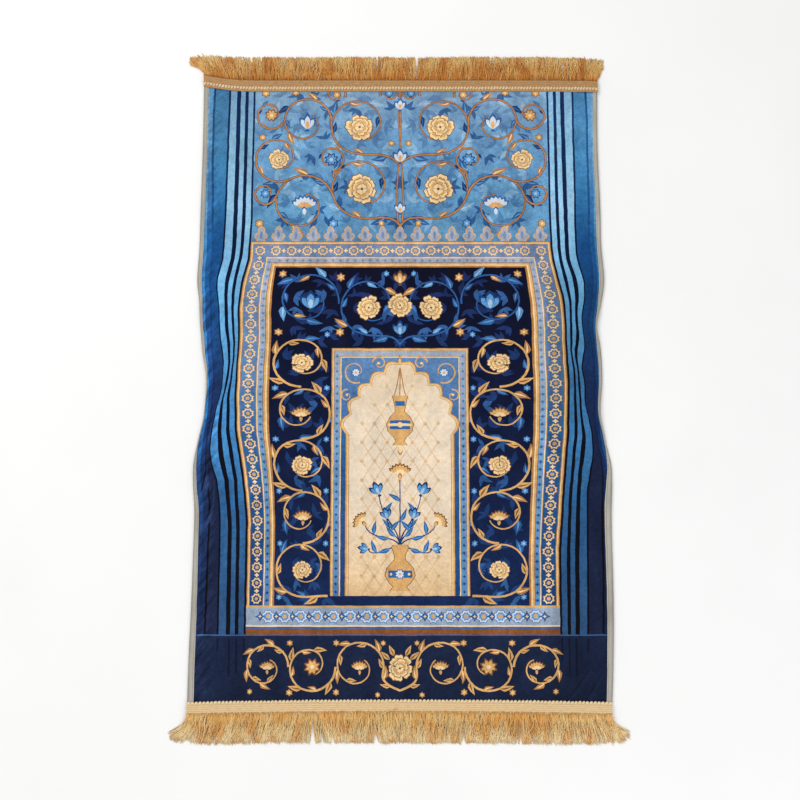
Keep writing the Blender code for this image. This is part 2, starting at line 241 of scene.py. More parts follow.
def along_rows(rows, y):
    """The other columns of a table whose rows run down the rug, read at y on straight lines."""
    if y >= rows[0][0]:
        return rows[0][1:]
    for upper, lower in zip(rows, rows[1:]):
        if y >= lower[0]:
            t = (y - lower[0]) / (upper[0] - lower[0])
            return tuple(b + (a - b) * t for a, b in zip(upper[1:], lower[1:]))
    return rows[-1][1:]


# ---------------------------------------------------------------- the cloth's course, as in part.py
OUTLINE_ROWS = {side: [(row[0] * MM, row[1 if side < 0 else 2] * MM) for row in EDGE_OUTLINE]
                for side in (-1, 1)}


def edge_outline(side, y):
    """Plan distance of one long edge from the centre line, smoothly through the table's rows."""
    rows = OUTLINE_ROWS[side]
    if y >= rows[0][0]:
        return rows[0][1]
    if y <= rows[-1][0]:
        return rows[-1][1]
    i = next(k for k in range(len(rows) - 1) if rows[k + 1][0] <= y)
    (y1, x1), (y2, x2) = rows[i], rows[i + 1]
    y0, x0 = rows[max(0, i - 1)]
    y3, x3 = rows[min(len(rows) - 1, i + 2)]
    slope1 = (x2 - x0) / (y2 - y0)
    slope2 = (x3 - x1) / (y3 - y1)
    t = (y - y1) / (y2 - y1)
    run = y2 - y1
    return ((2 * t ** 3 - 3 * t ** 2 + 1) * x1 + (t ** 3 - 2 * t ** 2 + t) * run * slope1
            + (3 * t ** 2 - 2 * t ** 3) * x2 + (t ** 3 - t ** 2) * run * slope2)


def end_bow(x, y):
    """How far a point moves along the rug because the ends of the cloth are not quite straight."""
    out = max(0.0, abs(x) - CORNER_BOW_FROM) / (CLOTH_HALF_WIDTH - CORNER_BOW_FROM)
    reach = TOP_LEFT_CORNER_REACH if x < 0 else TOP_RIGHT_CORNER_REACH
    top = reach * out ** 2 * smoothstep((y - CLOTH_TOP) / END_BOW_DEPTH + 1)
    bottom = BOTTOM_CORNER_REACH * (x / CLOTH_HALF_WIDTH) ** 2
    return top - bottom * smoothstep((CLOTH_BOTTOM - y) / END_BOW_DEPTH + 1)


def edge_rise(across):
    """Height of the cloth's underside near a long edge, where the tape runs under it."""
    inboard = CLOTH_HALF_WIDTH - abs(across)
    return (GAP + BINDING_TAPE) * smoothstep((BINDING_REACH + EDGE_RISE_WIDTH - inboard)
                                             / (EDGE_RISE_WIDTH - EDGE_RISE_STOPS))


def ripple_height(across, y):
    """Height of the ripples: a bell on the inner side, rolled over towards the edge on the outer."""
    side = -1 if across < 0 else 1
    inboard = CLOTH_HALF_WIDTH - abs(across)
    total = 0.0
    for row_side, centre, half_run, crest, inner, height, drift in RIPPLES:
        along = (y / MM - centre) / half_run
        if row_side != side or abs(along) >= 1:
            continue
        crest_here = crest + drift * along
        off = inboard / MM - crest_here
        if off >= 0:
            section = 0.5 + 0.5 * math.cos(math.pi * min(1.0, off / inner))
        else:
            section = math.cos(math.pi / 2 * min(1.0, -off / crest_here * EDGE_ROLL))
        total += height * MM * (0.5 + 0.5 * math.cos(math.pi * along)) * section
    return total


def underside(across, y):
    """The place of a cloth point's underside. across and y are its place on the flat cloth."""
    side = -1 if across < 0 else 1
    pull = edge_outline(side, y) - BINDING_TAPE - GAP - CLOTH_HALF_WIDTH
    taken = max(0.0, (abs(across) - CLOTH_HALF_WIDTH) / PULL_ZONE + 1) ** PULL_EASE
    x = across + side * pull * taken
    return Vector((x, y + end_bow(x, y), edge_rise(across) + ripple_height(across, y)))


def cloth_point(across, y, height):
    """A point a given height above the cloth's underside, square to the cloth."""
    here = underside(across, y)
    right = underside(across + SLOPE_STEP, y) - underside(across - SLOPE_STEP, y)
    ahead = underside(across, y + SLOPE_STEP) - underside(across, y - SLOPE_STEP)
    return here + right.cross(ahead).normalized() * height


def tape_shows(side, y):
    """Reach (mm) of the binding's visible top at y (mm)."""
    return along_rows(TAPE_SHOWS[side], y)[0]


def inside_tapes(across, y):
    """0 under the binding and the headings, 1 in the open cloth."""
    shown = tape_shows(-1 if across < 0 else 1, y / MM) * MM
    from_edge = CLOTH_HALF_WIDTH - abs(across) - shown
    from_end = min(CLOTH_TOP - y - TOP_COVER, y - CLOTH_BOTTOM - BOTTOM_COVER)
    return min(smoothstep(from_edge / EDGE_RUN_OUT), smoothstep(from_end / END_RUN_OUT))


def crease_height(across, y):
    """Soft ridges, each along a line between two places on the cloth."""
    total = 0.0
    for x0, y0, x1, y1, half_width, height in CREASES:
        run = Vector((x1 - x0, y1 - y0))
        here = Vector((across / MM - x0, y / MM - y0))
        t = here.dot(run) / run.length_squared
        off = abs(here.x * run.y - here.y * run.x) / run.length / half_width
        if 0 < t < 1 and off < 1:
            total += height * MM * math.sin(math.pi * t) * (0.5 + 0.5 * math.cos(math.pi * off))
    return total


def pile_height(across, y):
    """Height of the pile's top: pressed under the tapes, with a slow swell in the open cloth."""
    open_cloth = inside_tapes(across, y)
    place = Vector((across, y, 0.0)) / SWELL_SCALE
    swell = SWELL_HEIGHT * noise.noise(place) + crease_height(across, y)
    return PRESSED_THICKNESS + (CLOTH_THICKNESS - PRESSED_THICKNESS + swell) * open_cloth


# ---------------------------------------------------------------- drawing tools of the print
design = []


def paint(ink, points, both=True):
    """Add a filled shape to the print, above the earlier ones, and its mirror image if both.

    What would run past the print's ends is left out, as the headings cover them.
    """
    if max(y for _, y in points) > PRINT_TOP or min(y for _, y in points) < PRINT_BOTTOM:
        return
    design.append((ink, list(points)))
    if both:
        design.append((ink, [(-x, y) for x, y in points]))


def block(ink, x0, x1, y0, y1, both=False):
    """An upright rectangle of ink."""
    paint(ink, [(x0, y0), (x1, y0), (x1, y1), (x0, y1)], both)


def frame_block(ink, half_width, top, bottom):
    """A block that spans the rug's middle line."""
    block(ink, -half_width, half_width, bottom, top)


def stroke(ink, path, width, tip=1.0, both=True):
    """A line of ink along a path, its width running to tip times itself."""
    last = len(path) - 1
    rails = []
    for k, (x, y) in enumerate(path):
        (x0, y0), (x1, y1) = path[max(0, k - 1)], path[min(last, k + 1)]
        run = math.hypot(x1 - x0, y1 - y0) or 1.0
        half = width / 2 * (1 + (tip - 1) * k / last)
        across = (-(y1 - y0) / run * half, (x1 - x0) / run * half)
        rails.append(((x + across[0], y + across[1]), (x - across[0], y - across[1])))
    for (left0, right0), (left1, right1) in zip(rails, rails[1:]):
        paint(ink, [left0, right0, right1, left1], both)


def polar(x, y, radius, angle):
    """The place at a distance from (x, y), at an angle in degrees."""
    return (x + radius * math.cos(math.radians(angle)), y + radius * math.sin(math.radians(angle)))


def arc(x, y, radius, start, end, steps):
    """Points along part of a circle, between two angles."""
    return [polar(x, y, radius, start + (end - start) * k / steps) for k in range(steps + 1)]


def disc(ink, x, y, radius, sides=9, both=True):
    """A round spot of ink."""
    paint(ink, arc(x, y, radius, 0, 360 - 360 / sides, sides - 1), both)


def curve(p0, p1, p2, p3, steps):
    """A cubic curve from p0 to p3, drawn towards p1 and p2."""
    points = []
    for k in range(steps + 1):
        t = k / steps
        weights = ((1 - t) ** 3, 3 * t * (1 - t) ** 2, 3 * t * t * (1 - t), t ** 3)
        points.append(tuple(sum(w * p[i] for w, p in zip(weights, (p0, p1, p2, p3))) for i in (0, 1)))
    return points


SPIRAL_EYE = 0.34
SPIRAL_STEP = 6.2
SPIRAL_LEAST_STEPS = 8
SPIRAL_MEAN_RADIUS = 0.75
WINDS_IN_FROM = 0.3


def spiral(x, y, radius, start, turn, eye=SPIRAL_EYE, step=SPIRAL_STEP):
    """From the rim of a circle round and in to its eye. Angles in degrees, turn with its sign."""
    length = abs(math.radians(turn)) * radius * SPIRAL_MEAN_RADIUS
    steps = max(SPIRAL_LEAST_STEPS, round(length / step))
    points = []
    for k in range(steps + 1):
        t = k / steps
        wound = smoothstep((t - WINDS_IN_FROM) / (1 - WINDS_IN_FROM))
        points.append(polar(x, y, radius * (1 - (1 - eye) * wound), start + turn * t))
    return points


# ---------------------------------------------------------------- leaves, stars and flowers
# Sizes within a motif are shares of the motif's own size, and turns are in degrees
# Half a petal or leaf: how far along it, then how much of its half width
PETAL = ((0.0, 0.0), (0.16, 0.5), (0.4, 0.9), (0.62, 1.0), (0.84, 0.66), (1.0, 0.0))
BROAD = ((0.0, 0.0), (0.2, 0.5), (0.5, 0.92), (0.76, 1.0), (0.95, 0.66), (0.9, 0.0))
LEAF = ((0.0, 0.0), (0.18, 0.62), (0.4, 1.0), (0.7, 0.6), (1.0, 0.0))
PETAL_NEST = (1.0, 0.8, 0.5)
VEINED_LEAF = 13
VEIN_LENGTH = 0.82
VEIN_WIDTH = 0.26
VEIN_BEND = 0.9
# Forms of star: points, waist as a share of the radius, turn
EIGHT_POINTED = (8, 0.77, 22.5)
FOUR_POINTED = (4, 0.5, 0)
SLIM_POINTED = (4, 0.42, 0)
# A peony's whorls: petals, then where they start, their length and their width
WHORLS = ((8, 0.3, 0.7, 0.62), (6, 0.16, 0.52, 0.5), (4, 0.03, 0.33, 0.38))
PETAL_SHADES = (("gold_dark", 1.0), ("gold_light", 0.91), ("gold", 0.66))
TWO_SHADES_UP_TO = 0.4
PEONY_SEED = (7, 13)
PEONY_STRAY = 8
PEONY_SIZES = (0.84, 1.12)
PEONY_EYE = 0.09
EYE_SIDES = 6
# A rosette's rim and body: size and depth of the lobes
ROSETTE_LOBES = ((1.0, 0.34), (0.78, 0.36))
ROSETTE_EYE = 0.26
# A tulip's petals: lean, length, width and how many inks
TULIP_PETALS = ((-34, 0.95, 0.42, 2), (34, 0.95, 0.42, 2), (0, 1.1, 0.5, 3))
TULIP_CUP = (0.22, 0.3)
# A carnation's fans, from the widest: reach and teeth
FANS = ((1.0, 7), (0.86, 7), (0.55, 5))
FAN_FOOT = 0.12
FAN_SPREAD = 62
FAN_BITE = 0.84
CALYX = (0.3, 0.55, 0.3)


def blade(x, y, angle, length, width, profile=PETAL, bend=0.0):
    """The outline of a petal or a leaf from its base at (x, y); bend curls its tip to the left."""
    cos, sin = math.cos(math.radians(angle)), math.sin(math.radians(angle))
    upper, lower = [], []
    for t, w in profile:
        along, side = length * t, bend * length * t * t
        for out, points in ((w * width / 2, upper), (-w * width / 2, lower)):
            points.append((x + along * cos - (side + out) * sin, y + along * sin + (side + out) * cos))
    return upper + lower[-2:0:-1]


def petal(inks, x, y, angle, length, width, both=True):
    """A petal in up to three inks, each inside the last."""
    for ink, size in zip(inks, PETAL_NEST):
        paint(ink, blade(x, y, angle, length * size, width * size), both)


def leaf(ink, vein, x, y, angle, length, width, bend=0.3, both=True):
    """A leaf, with a vein where it is long enough for one."""
    paint(ink, blade(x, y, angle, length, width, LEAF, bend), both)
    if vein and length > VEINED_LEAF:
        paint(vein, blade(x, y, angle, length * VEIN_LENGTH, width * VEIN_WIDTH, LEAF,
                          bend * VEIN_BEND), both)


def lobed(x, y, radius, lobes, depth, steps=4):
    """A round outline with lobes, as of an open flower."""
    points = []
    for k in range(lobes * steps):
        dip = abs(math.cos(math.pi * k / steps)) ** 2
        points.append(polar(x, y, radius * (1 - depth * dip), 360 * k / (lobes * steps)))
    return points


def stars(layers, x, y, both=True, form=EIGHT_POINTED):
    """A star in one or more inks, each inside the last. layers are pairs of ink and radius."""
    points, waist, turn = form
    for ink, radius in layers:
        paint(ink, [polar(x, y, radius * (1 if k % 2 == 0 else waist), turn + 180 * k / points)
                    for k in range(2 * points)], both)


def peony(x, y, radius, both=True):
    """A full gold flower: whorls of broad petals with dark rims, pale tips and deeper hearts."""
    rng = random.Random(round(PEONY_SEED[0] * x + PEONY_SEED[1] * y))
    for number, start, length, width in WHORLS:
        first = rng.uniform(0, 360)
        for k in range(number):
            angle = first + 360 * k / number + rng.uniform(-PEONY_STRAY, PEONY_STRAY)
            base = polar(x, y, radius * start, angle)
            size = radius * rng.uniform(*PEONY_SIZES)
            for ink, share in PETAL_SHADES[:3 if length > TWO_SHADES_UP_TO else 2]:
                paint(ink, blade(*base, angle, size * length * share, size * width * share, BROAD), both)
    disc("gold_dark", x, y, radius * PEONY_EYE, EYE_SIDES, both)


def rosette(inks, x, y, radius, petals=6, both=True):
    """A small open flower: rim, body and eye."""
    for ink, (size, depth) in zip(inks, ROSETTE_LOBES):
        paint(ink, lobed(x, y, radius * size, petals, depth), both)
    disc(inks[2], x, y, radius * ROSETTE_EYE, EYE_SIDES, both)


def tulip(inks, x, y, angle, size, both=True):
    """Three pointed petals in a cup."""
    for lean, length, width, shades in TULIP_PETALS:
        petal(inks[:shades], x, y, angle + lean, size * length, size * width, both)
    paint(inks[0], blade(x, y, angle + 180, size * TULIP_CUP[0], size * TULIP_CUP[1]), both)


def carnation(inks, x, y, angle, size, both=True):
    """A fan with a toothed edge over a slim calyx."""
    for ink, (reach, teeth) in zip(inks, FANS):
        fan = [polar(x, y, size * FAN_FOOT, angle)]
        for k in range(2 * teeth + 1):
            bite = 1.0 if k % 2 else FAN_BITE
            turn = 2 * FAN_SPREAD * k / (2 * teeth)
            fan.append(polar(x, y, size * reach * bite, angle - FAN_SPREAD + turn))
        paint(ink, fan, both)
    drop, length, width = CALYX
    petal(inks[:2], *polar(x, y, size * drop, angle + 180), angle, size * length, size * width, both)


# ---------------------------------------------------------------- scrolls and sprigs
LEAD_REACH = 0.4
LEAD_STEPS = 8
SCROLL_TURN = 430
LEAVES_FROM = 3
LEAVES_TO = 0.66
LEAF_PLACES = 11
LONGEST_LEAF = 27.0
OUTER_LEAF = 0.56
INNER_LEAF = 0.42
LEAF_TURN = 44
LEAF_WIDTH = 0.46
LEAF_BEND = 0.35
STEM_RIM = 1.6
RIM_TAPER = 0.55
STEM_TAPER = 0.5
FLOWER_FOOT = {"tulip": 0.45, "carnation": 0.4}
SPRIG_JITTER = 0.25
SPRIG_TURN = 50
SPRIG_STRAY = 12
SPRIG_SIZES = (0.7, 1.15)
SPRIG_WIDTH = 0.42
SPRIG_BEND = 0.4


def joined(source, path):
    """A path led in from a place (x, y) that it leaves at a heading in degrees."""
    *start, heading = source
    (x1, y1), (x2, y2) = path[:2]
    reach = LEAD_REACH * math.hypot(x1 - start[0], y1 - start[1])
    run = math.hypot(x2 - x1, y2 - y1)
    lead = (x1 - (x2 - x1) / run * reach, y1 - (y2 - y1) / run * reach)
    return curve(start, polar(*start, reach, heading), lead, path[0], LEAD_STEPS)[:-1] + path


def scroll(x, y, radius, start, sense, flower, source, stem, leaves):
    """A spiral stem with leaves along it and a flower in its eye.

    stem is (under ink or None, over ink, width). leaves are (ink, vein) pairs, used in turn.
    """
    under, over, width = stem
    path = spiral(x, y, radius, start, sense * SCROLL_TURN)
    if source:
        path = joined(source, path)
    count = len(path)
    for k, at in enumerate(range(LEAVES_FROM, round(count * LEAVES_TO), max(2, count // LEAF_PLACES))):
        (x0, y0), (x1, y1) = path[at], path[at + 1]
        heading = math.degrees(math.atan2(y1 - y0, x1 - x0))
        side = 1 if k % 2 else -1
        ink, vein = leaves[k % len(leaves)]
        size = min(LONGEST_LEAF, radius * (OUTER_LEAF if side * sense < 0 else INNER_LEAF))
        leaf(ink, vein, x0, y0, heading + side * LEAF_TURN, size, size * LEAF_WIDTH, -side * LEAF_BEND)
    if under:
        stroke(under, path, width + STEM_RIM, RIM_TAPER)
    stroke(over, path, width, STEM_TAPER)
    kind, inks, size = flower
    if kind == "peony":
        peony(x, y, size)
    elif kind == "rosette":
        rosette(inks, x, y, size, 8)
    else:
        upright = {"tulip": tulip, "carnation": carnation}[kind]
        upright(inks, x, y - size * FLOWER_FOOT[kind], 90, size)


def sprigs(inks, field, pitch, size, seed):
    """Loose sprays of plain leaves over a field (x0, x1, y0, y1), in inks close to its own."""
    rng = random.Random(seed)
    x0, x1, y0, y1 = field
    for j in range(int((y1 - y0) / pitch) + 1):
        for i in range(int((x1 - x0) / pitch) + 1):
            x = x0 + (i + 0.5 * (j % 2) + rng.uniform(-SPRIG_JITTER, SPRIG_JITTER)) * pitch
            y = y0 + (j + rng.uniform(-SPRIG_JITTER, SPRIG_JITTER)) * pitch
            turn, ink = rng.uniform(0, 360), rng.choice(inks)
            if x > x1:
                continue
            for k in (-1, 0, 1):
                length = size * rng.uniform(*SPRIG_SIZES)
                angle = turn + SPRIG_TURN * k + rng.uniform(-SPRIG_STRAY, SPRIG_STRAY)
                leaf(ink, None, x, y, angle, length, length * SPRIG_WIDTH,
                     rng.uniform(-SPRIG_BEND, SPRIG_BEND))


# ---------------------------------------------------------------- the design
# Each flower's inks: rim, body and heart
GOLD_FLOWER = ("gold_dark", "gold", "gold_light")
BLUE_FLOWER = ("blue_deep", "blue_flower", "blue_pale")
PALE_FLOWER = ("blue_mid", "white_blue", "gold")


def draw_scrolls(scrolls, stem, leaves):
    """Scrolls from the rows of a table, on like stems."""
    for row in scrolls:
        scroll(*row, stem, leaves)


def draw_rosettes(places, inks, large_inks=None, large=math.inf):
    """Rosettes at (x, y, size), those from a size upwards in other inks."""
    for x, y, size in places:
        rosette(large_inks if size >= large else inks, x, y, size)


def nested_blocks(rules, top, bottom):
    """Blocks in a frame's inks, each within the last by the same margin at the sides and the top."""
    outer = rules[0][1]
    for ink, half in rules:
        frame_block(ink, half, top - (outer - half), bottom)


def draw_stripes():
    """The two striped borders, down to where the plain base begins."""
    for ink, inner, outer, bottom in STRIPE_BLOCKS:
        block(ink, inner, outer, bottom, PRINT_TOP, True)
    for middle, width in STRIPE_LINES:
        block("line_dark", middle - width / 2, middle + width / 2, STRIPES_END, PRINT_TOP, True)


SKY_STEM = ("stem_dark", "gold_deep", 3.0)
SKY_LEAVES = (("sky_deep", "blue_flower"), ("gold_deep", "gold_light"), ("sky_pale", "blue_pale"),
              ("stem_dark", "blue_mid"))
SKY_SCROLLS = [
    # x, y, radius, where its rim is reached (degrees), sense of turn, flower, where its stem comes from
    (62, 326, 48, 285, 1, ("peony", None, 27), (0, 264, 58)),
    (155, 301, 48, 165, -1, ("carnation", PALE_FLOWER, 27), None),
    (198, 376, 38, 240, 1, ("peony", None, 18), None),
    (66, 432, 46, 275, 1, ("peony", None, 24), (0, 366, 58)),
    (152, 440, 40, 185, -1, ("tulip", PALE_FLOWER, 25), None),
    (212, 452, 24, 191, 1, ("rosette", GOLD_FLOWER, 12), None),
    (219, 318, 18, 195, 1, ("rosette", BLUE_FLOWER, 9), None),
    (112, 376, 20, 250, -1, ("rosette", BLUE_FLOWER, 12), (108, 346, 80)),
    (104, 488, 15, 200, -1, ("rosette", GOLD_FLOWER, 8), None),
    (18, 490, 15, 340, 1, ("rosette", BLUE_FLOWER, 8), None),
]
SKY_SPRIGS = ("sky_shade", "sky_pale", "sky_shade", "sky_deep")
SKY_SPRIG_FIELD = (4, 208, 272, 488)
TRUNK = ((0, 258), (15, 300), (-8, 420), (0, 500))
TRUNK_STEPS = 34
TRUNK_INKS = (("stem_dark", 4.2), ("gold_deep", 2.6))
TRUNK_TAPER = 0.6
TRUNK_TULIPS = ((286, 18), (372, 22), (462, 18))
SKY_ROSETTES = ((108, 268, 9), (228, 268, 8), (226, 414, 7), (222, 490, 8), (172, 492, 8), (30, 268, 6),
                (14, 404, 6))


def draw_sky():
    """The garden above the frame: leafy scrolls round large flowers, over paler and darker leaves."""
    frame_block("sky", FIELD, PRINT_TOP, FRAME_TOP)
    sprigs(SKY_SPRIGS, SKY_SPRIG_FIELD, pitch=27, size=19, seed=11)
    for ink, width in TRUNK_INKS:
        stroke(ink, curve(*TRUNK, TRUNK_STEPS), width, TRUNK_TAPER)
    draw_scrolls(SKY_SCROLLS, SKY_STEM, SKY_LEAVES)
    for y, size in TRUNK_TULIPS:
        tulip(PALE_FLOWER, 0, y, 90, size, both=False)
    draw_rosettes(SKY_ROSETTES, GOLD_FLOWER, BLUE_FLOWER, 9)


MERLONS = 9
MERLON_PITCH = 28
MERLON_HALF = 5
MERLON_HEIGHT = 12
MERLON_INKS = (("gold", 1.6), ("silver", 0.0))
# A merlon's round lobes: x from its middle, y over the frame, radius; then its tip and its blue eye:
# y over the frame, length, width
MERLON_LOBE = (5.4, 8.5, 4.2)
MERLON_TIP = (7, 17, 9)
MERLON_EYE = (3, 14, 5)


def draw_cresting():
    """A row of small lobed merlons along the frame's top."""
    lobe_x, lobe_y, lobe_radius = MERLON_LOBE
    tip_y, tip_length, tip_width = MERLON_TIP
    eye_y, eye_length, eye_width = MERLON_EYE
    for k in range(MERLONS):
        x, both = MERLON_PITCH * k, k > 0
        for ink, grow in MERLON_INKS:
            block(ink, x - MERLON_HALF - grow, x + MERLON_HALF + grow, FRAME_TOP,
                  FRAME_TOP + MERLON_HEIGHT, both)
            for side in (-1, 1):
                disc(ink, x + side * lobe_x, FRAME_TOP + lobe_y, lobe_radius + grow, both=both)
            paint(ink, blade(x, FRAME_TOP + tip_y - grow, 90, tip_length + 2.4 * grow,
                             tip_width + 2 * grow), both)
        paint("frame_blue", blade(x, FRAME_TOP + eye_y, 90, eye_length, eye_width), both)


FRAME_RULES = (("gold_dark", FIELD), ("gold", 238.6), ("gold_light", 236.6), ("gold_deep", 235.4),
               ("frame_blue", 234.2), ("gold_deep", 213.6), ("gold_light", 212.8), ("silver", 211.4),
               ("gold_dark", 204.2), ("gold", 203.4), ("gold_light", 200.6), ("gold_deep", 198.8),
               ("panel", FRAME_INNER))
CHAIN_MIDDLE = 223.8
CHAIN_STAR = (("gold_deep", 9.2), ("gold_light", 8.4), ("frame_blue", 6.2), ("gold", 3.2))
CHAIN_LINK = (("gold_light", 4.2),)
CHAIN_STOPS = TILES_TOP + 22
# The chain up the sides and along the top: how many stars, their pitch, and how far off its link is
CHAIN_UP = (24, 24.2, 12.1)
CHAIN_ALONG = (9, 24.87, 12.43)
BAND_STAR = (("frame_blue", 3.4),)
BAND_PITCH = 12
# The silver band's sparks: x up the sides, the first one's y, how many; y along the top, how many
BAND_UP = (207.4, 203, 46)
BAND_ALONG = (205.9, 17)


def draw_frame():
    """The silver-blue frame: gold rules, a chain of stars, and the dark panel inside it."""
    nested_blocks(FRAME_RULES, FRAME_TOP, TILES_TOP)
    top = FRAME_TOP - (FIELD - CHAIN_MIDDLE)
    count, pitch, link = CHAIN_UP
    stations = [(CHAIN_MIDDLE, top - pitch * k, 0, link) for k in range(count)]
    count, pitch, link = CHAIN_ALONG
    stations += [(pitch * k, top, link, 0) for k in range(count)]
    for x, y, link_x, link_y in stations:
        stars(CHAIN_STAR, x, y, x > 0)
        if x > 0 and y >= CHAIN_STOPS:
            stars(CHAIN_LINK, x - link_x, y - link_y, form=FOUR_POINTED)
    x, first, count = BAND_UP
    for k in range(count):
        stars(BAND_STAR, x, first - BAND_PITCH * k, form=FOUR_POINTED)
    y, count = BAND_ALONG
    for k in range(count):
        stars(BAND_STAR, BAND_PITCH * k, y, k > 0, FOUR_POINTED)


# The niche's opening, from its foot up: half its width, and the heights of its foot, spring and apex
OPENING_HALF = 80
OPENING_FOOT = -330
OPENING_SPRING = -78
OPENING_APEX = 34
SHOULDER_RISE = 62
HAUNCH = (38, -26)
LOBES = 5
LOBE_STEPS = 6
LOBE_RISE = 0.34
TIP_RISE = 6
TIP_GROWS = 1.6
NICHE_TOP = 62
NICHE_RULES = (("gold_dark", 109), ("gold", 108.2), ("gold_light", 106), ("gold_deep", 105),
               ("silver", 104), ("gold_deep", 95.4), ("gold_light", 94.6), ("frame_blue", 93))
OPENING_RULES = (("gold_dark", 6.2), ("gold", 5.4), ("gold_light", 2.6), ("gold_deep", 1.1), ("cream", 0.0))
SPANDREL_SPIRALS = ((70, 22, 17, 250, 1), (84, -14, 9, 100, -1), (34, 37, 10, 10, 1))
NICHE_STAR = (("frame_blue", 3.2),)
NICHE_UP = (99.7, 48, 32)


def opening_curve(steps):
    """Half of the niche's plain head, from its spring to its apex."""
    return curve((OPENING_HALF, OPENING_SPRING), (OPENING_HALF, OPENING_SPRING + SHOULDER_RISE),
                 (HAUNCH[0], OPENING_APEX + HAUNCH[1]), (0, OPENING_APEX), steps)


def cusped_opening(grow):
    """Half of the niche's outline, from its foot up its cusped side to its tip."""
    base = opening_curve(LOBES)
    points = [(OPENING_HALF + grow, OPENING_FOOT)]
    for (x0, y0), (x1, y1) in zip(base, base[1:]):
        chord = math.hypot(x1 - x0, y1 - y0)
        out = ((y1 - y0) / chord, -(x1 - x0) / chord)
        for k in range(LOBE_STEPS + 1):
            t = k / LOBE_STEPS
            rise = LOBE_RISE * chord * math.sin(math.pi * t) + grow
            points.append((max(0.0, x0 + (x1 - x0) * t + out[0] * rise),
                           y0 + (y1 - y0) * t + out[1] * rise))
    points.append((0.0, OPENING_APEX + TIP_GROWS * grow + TIP_RISE))
    return points


def opening_reach(y):
    """Half the width of the plain curve under the cusps, at y."""
    if y < OPENING_SPRING:
        return OPENING_HALF
    points = opening_curve(24)
    for (x0, y0), (x1, y1) in zip(points, points[1:]):
        if y0 <= y <= y1:
            return x0 + (x1 - x0) * (y - y0) / (y1 - y0)
    return 0.0


def draw_niche():
    """One cusped niche in an upright surround, with a lamp above and a flowering vase below."""
    nested_blocks(NICHE_RULES, NICHE_TOP, OPENING_FOOT)
    for x, y, radius, start, sense in SPANDREL_SPIRALS:
        path = spiral(x, y, radius, start, sense * 400, eye=0.2, step=3.5)
        stroke("gold", path, 2.6, tip=0.4)
        disc("gold_light", x, y, radius * 0.24, 7)
    rosette(PALE_FLOWER, *SPANDREL_SPIRALS[0][:2], 8.5, 8)
    for ink, grow in OPENING_RULES:
        half = cusped_opening(grow)
        paint(ink, half + [(-x, y) for x, y in half[-2::-1]], both=False)
    draw_lattice()
    draw_lamp()
    draw_vase()
    x, first, count = NICHE_UP
    for k in range(count):
        stars(NICHE_STAR, x, first - BAND_PITCH * k, form=FOUR_POINTED)


LATTICE_PITCH = 20
LATTICE_RISE = 30
LATTICE_ROWS = range(-11, 2)
LATTICE_COLUMNS = range(4)
LATTICE_LINE = 1.1
LATTICE_STAR = (("cream_shade", 3.4),)
LATTICE_MARGIN = 8
LATTICE_HEADROOM = 10


def draw_lattice():
    """A faint lattice of diamonds behind the lamp, with a little star on each crossing."""
    def fits(x, y):
        """Whether a place lies well within the opening."""
        return x <= opening_reach(y + LATTICE_HEADROOM) - LATTICE_MARGIN

    for j in LATTICE_ROWS:
        y0, y1 = LATTICE_RISE * j, LATTICE_RISE * (j + 1)
        for i in LATTICE_COLUMNS:
            x0 = LATTICE_PITCH * i
            for x1 in (x0 + LATTICE_PITCH, x0 - LATTICE_PITCH):
                if y0 >= OPENING_FOOT and x1 >= 0 and fits(max(x0, x1), y1):
                    stroke("cream_shade", [(x0, y0), (x1, y1)], LATTICE_LINE)
            if y0 > OPENING_FOOT and fits(x0, y0):
                stars(LATTICE_STAR, x0, y0, i > 0)


# Vessels, turned round the middle line: half width, height from the vessel's own level
LAMP = [(12, 5), (8, -12), (7, -21), (16, -30), (21, -41), (19, -52), (10, -62), (6, -68), (11, -75)]
VASE = [(10, 62), (13, 58), (8, 46), (8, 39), (20, 26), (23, 14), (16, 3), (10, -3), (15, -9)]
# Their bands: ink, half width, from and to what height
LAMP_BANDS = (("blue_mid", 16, -49, -35), ("gold_light", 18.5, -44, -40), ("blue_mid", 7.5, -12, -4))
VASE_BANDS = (("blue_mid", 18.5, 11, 22),)
LAMP_HOOK = -20
LAMP_CHAINS = (0, 10.5)
CHAINS_FROM = 30
CHAINS_BEND = -1.0
VASE_FOOT = -322
VASE_LEVEL = VASE_FOOT + 9
VASE_NECK = VASE_FOOT + 64
# Where each flower of the spray stands over the vase's foot: x, height, lean, and its kind and size
SPRAY = [(0, 178, 90, "carnation", 22), (33, 150, 66, "tulip", 20), (56, 104, 40, "carnation", 19),
         (20, 112, 74, "tulip", 17), (50, 64, 10, "tulip", 15)]
# The leaves on each of its stems: at which point of the stem, and turned how far from it
SPRAY_LEAVES = ((4, -44), (7, 40))


def turned(ink, profile, y, grow=0.0):
    """A vessel's outline from its half widths down its axis."""
    side = [(half + grow, y + height) for half, height in profile]
    paint(ink, side + [(-x, height) for x, height in side[::-1]], both=False)


def vessel(profile, bands, y, rim):
    """A gold vessel with a dark rim and bands of colour."""
    turned("gold_dark", profile, y, rim)
    turned("gold", profile, y)
    for ink, half, low, high in bands:
        block(ink, -half, half, y + low, y + high)


def draw_lamp():
    """A glass lamp on three chains."""
    for x in LAMP_CHAINS:
        chain = [(0, CHAINS_FROM), (x * 0.5, CHAINS_BEND), (x, LAMP_HOOK)]
        stroke("gold_deep", chain, 1.6, both=x > 0)
    vessel(LAMP, LAMP_BANDS, LAMP_HOOK, 1.0)
    disc("gold_light", 0, LAMP_HOOK - 42, 4.4, 8, both=False)
    petal(("gold_deep", "gold_light"), 0, LAMP_HOOK - 75, -90, 16, 8, both=False)


